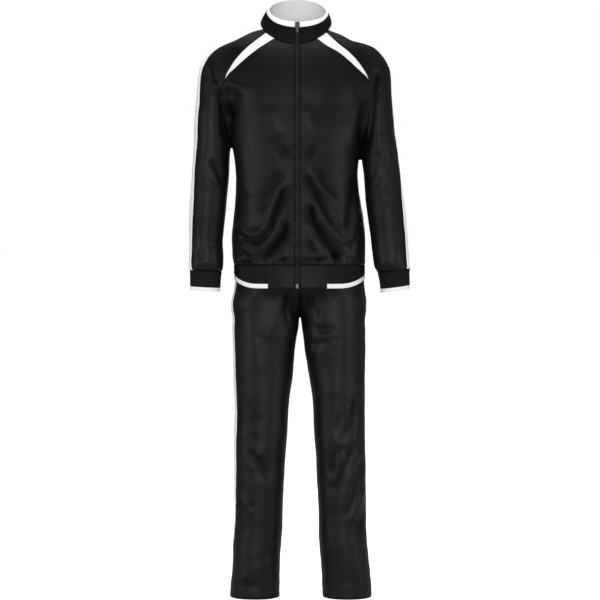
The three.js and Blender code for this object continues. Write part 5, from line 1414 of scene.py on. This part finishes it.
stageLook = {"floorZ": -1.5255, "floorColour": (0.5, 0.5, 0.5), "floorGlow": 0.93, "worldLight": 0.2}
floorMesh = bpy.data.meshes.new("paleFloor")
bm = bmesh.new()
bmesh.ops.create_circle(bm, cap_ends=True, segments=96, radius=40)
bmesh.ops.translate(bm, verts=bm.verts, vec=(0, 0, stageLook["floorZ"]))
bm.to_mesh(floorMesh)
bm.free()
floor = bpy.data.objects.new("paleFloor", floorMesh)
bpy.context.scene.collection.objects.link(floor)
floorMaterial = bpy.data.materials.new("paleFloor")
floorMaterial.use_nodes = True
tree = floorMaterial.node_tree
floorShader = tree.nodes["Principled BSDF"]
floorShader.inputs["Base Color"].default_value = stageLook["floorColour"] + (1,)
floorShader.inputs["Roughness"].default_value = 0.9
glow = addNode(tree, "ShaderNodeEmission", values={"Strength": stageLook["floorGlow"]})
seen = addNode(tree, "ShaderNodeLightPath")
seenGlow = addNode(tree, "ShaderNodeMixShader", links={0: seen.outputs["Is Camera Ray"], 2: glow.outputs[0]})
floorSum = addNode(tree, "ShaderNodeAddShader", links={0: floorShader.outputs[0], 1: seenGlow.outputs[0]})
tree.links.new(floorSum.outputs[0], tree.nodes["Material Output"].inputs["Surface"])
floorMesh.materials.append(floorMaterial)

world = bpy.data.worlds.new("studio")
bpy.context.scene.world = world
world.use_nodes = True
tree = world.node_tree
background = tree.nodes["Background"]
backdrop = addNode(tree, "ShaderNodeBackground", values={"Color": (1, 1, 1, 1), "Strength": 1.0})
background.inputs["Color"].default_value = (1, 1, 1, 1)
background.inputs["Strength"].default_value = stageLook["worldLight"]
path = addNode(tree, "ShaderNodeLightPath")
both = addNode(tree, "ShaderNodeMixShader", links={0: path.outputs["Is Camera Ray"], 1: background.outputs[0],
                                                  2: backdrop.outputs[0]})
tree.links.new(both.outputs[0], tree.nodes["World Output"].inputs["Surface"])

softBoxes = {
    "frontBox": {"at": (0.1, -8.4, -0.4), "size": 4.0, "power": 360},
    "keyBox": {"at": (-3.9, -3.0, -0.5), "size": 1.8, "power": 32},
    "fillBox": {"at": (3.9, -3.0, -0.5), "size": 1.8, "power": 26},
    "lowLeftBox": {"at": (-3.2, -1.4, -0.8), "size": 1.4, "power": 20},
    "lowRightBox": {"at": (3.2, -1.4, -0.8), "size": 1.4, "power": 18},
    "topBox": {"at": (0.1, -0.3, 3.0), "size": 4.5, "power": 150},
    "backBox": {"at": (0.4, 3.8, 0.8), "size": 2.4, "power": 80},
}
target = Vector((0.0, 0, -0.7))
for name, box in softBoxes.items():
    lamp = bpy.data.lights.new(name, "AREA")
    lamp.shape, lamp.size, lamp.energy = "SQUARE", box["size"], box["power"]
    holder = bpy.data.objects.new(name, lamp)
    holder.location = box["at"]
    holder.rotation_euler = (target - Vector(box["at"])).to_track_quat("-Z", "Y").to_euler()
    bpy.context.scene.collection.objects.link(holder)

cameraPlace = {"at": (0.00675, -7.0, -0.445), "look": (0.00675, 0, -0.720), "halfFrame": 0.81}
camera = bpy.data.objects.new("camera", bpy.data.cameras.new("camera"))
camera.location = cameraPlace["at"]
cameraWay = Vector(cameraPlace["look"]) - Vector(cameraPlace["at"])
camera.rotation_euler = cameraWay.to_track_quat("-Z", "Y").to_euler()
camera.data.sensor_fit = "AUTO"
camera.data.angle = 2 * math.atan(cameraPlace["halfFrame"] / -cameraPlace["at"][1])
bpy.context.scene.collection.objects.link(camera)
bpy.context.scene.camera = camera
bpy.context.scene.view_settings.view_transform = "Standard"
print("studio ready")
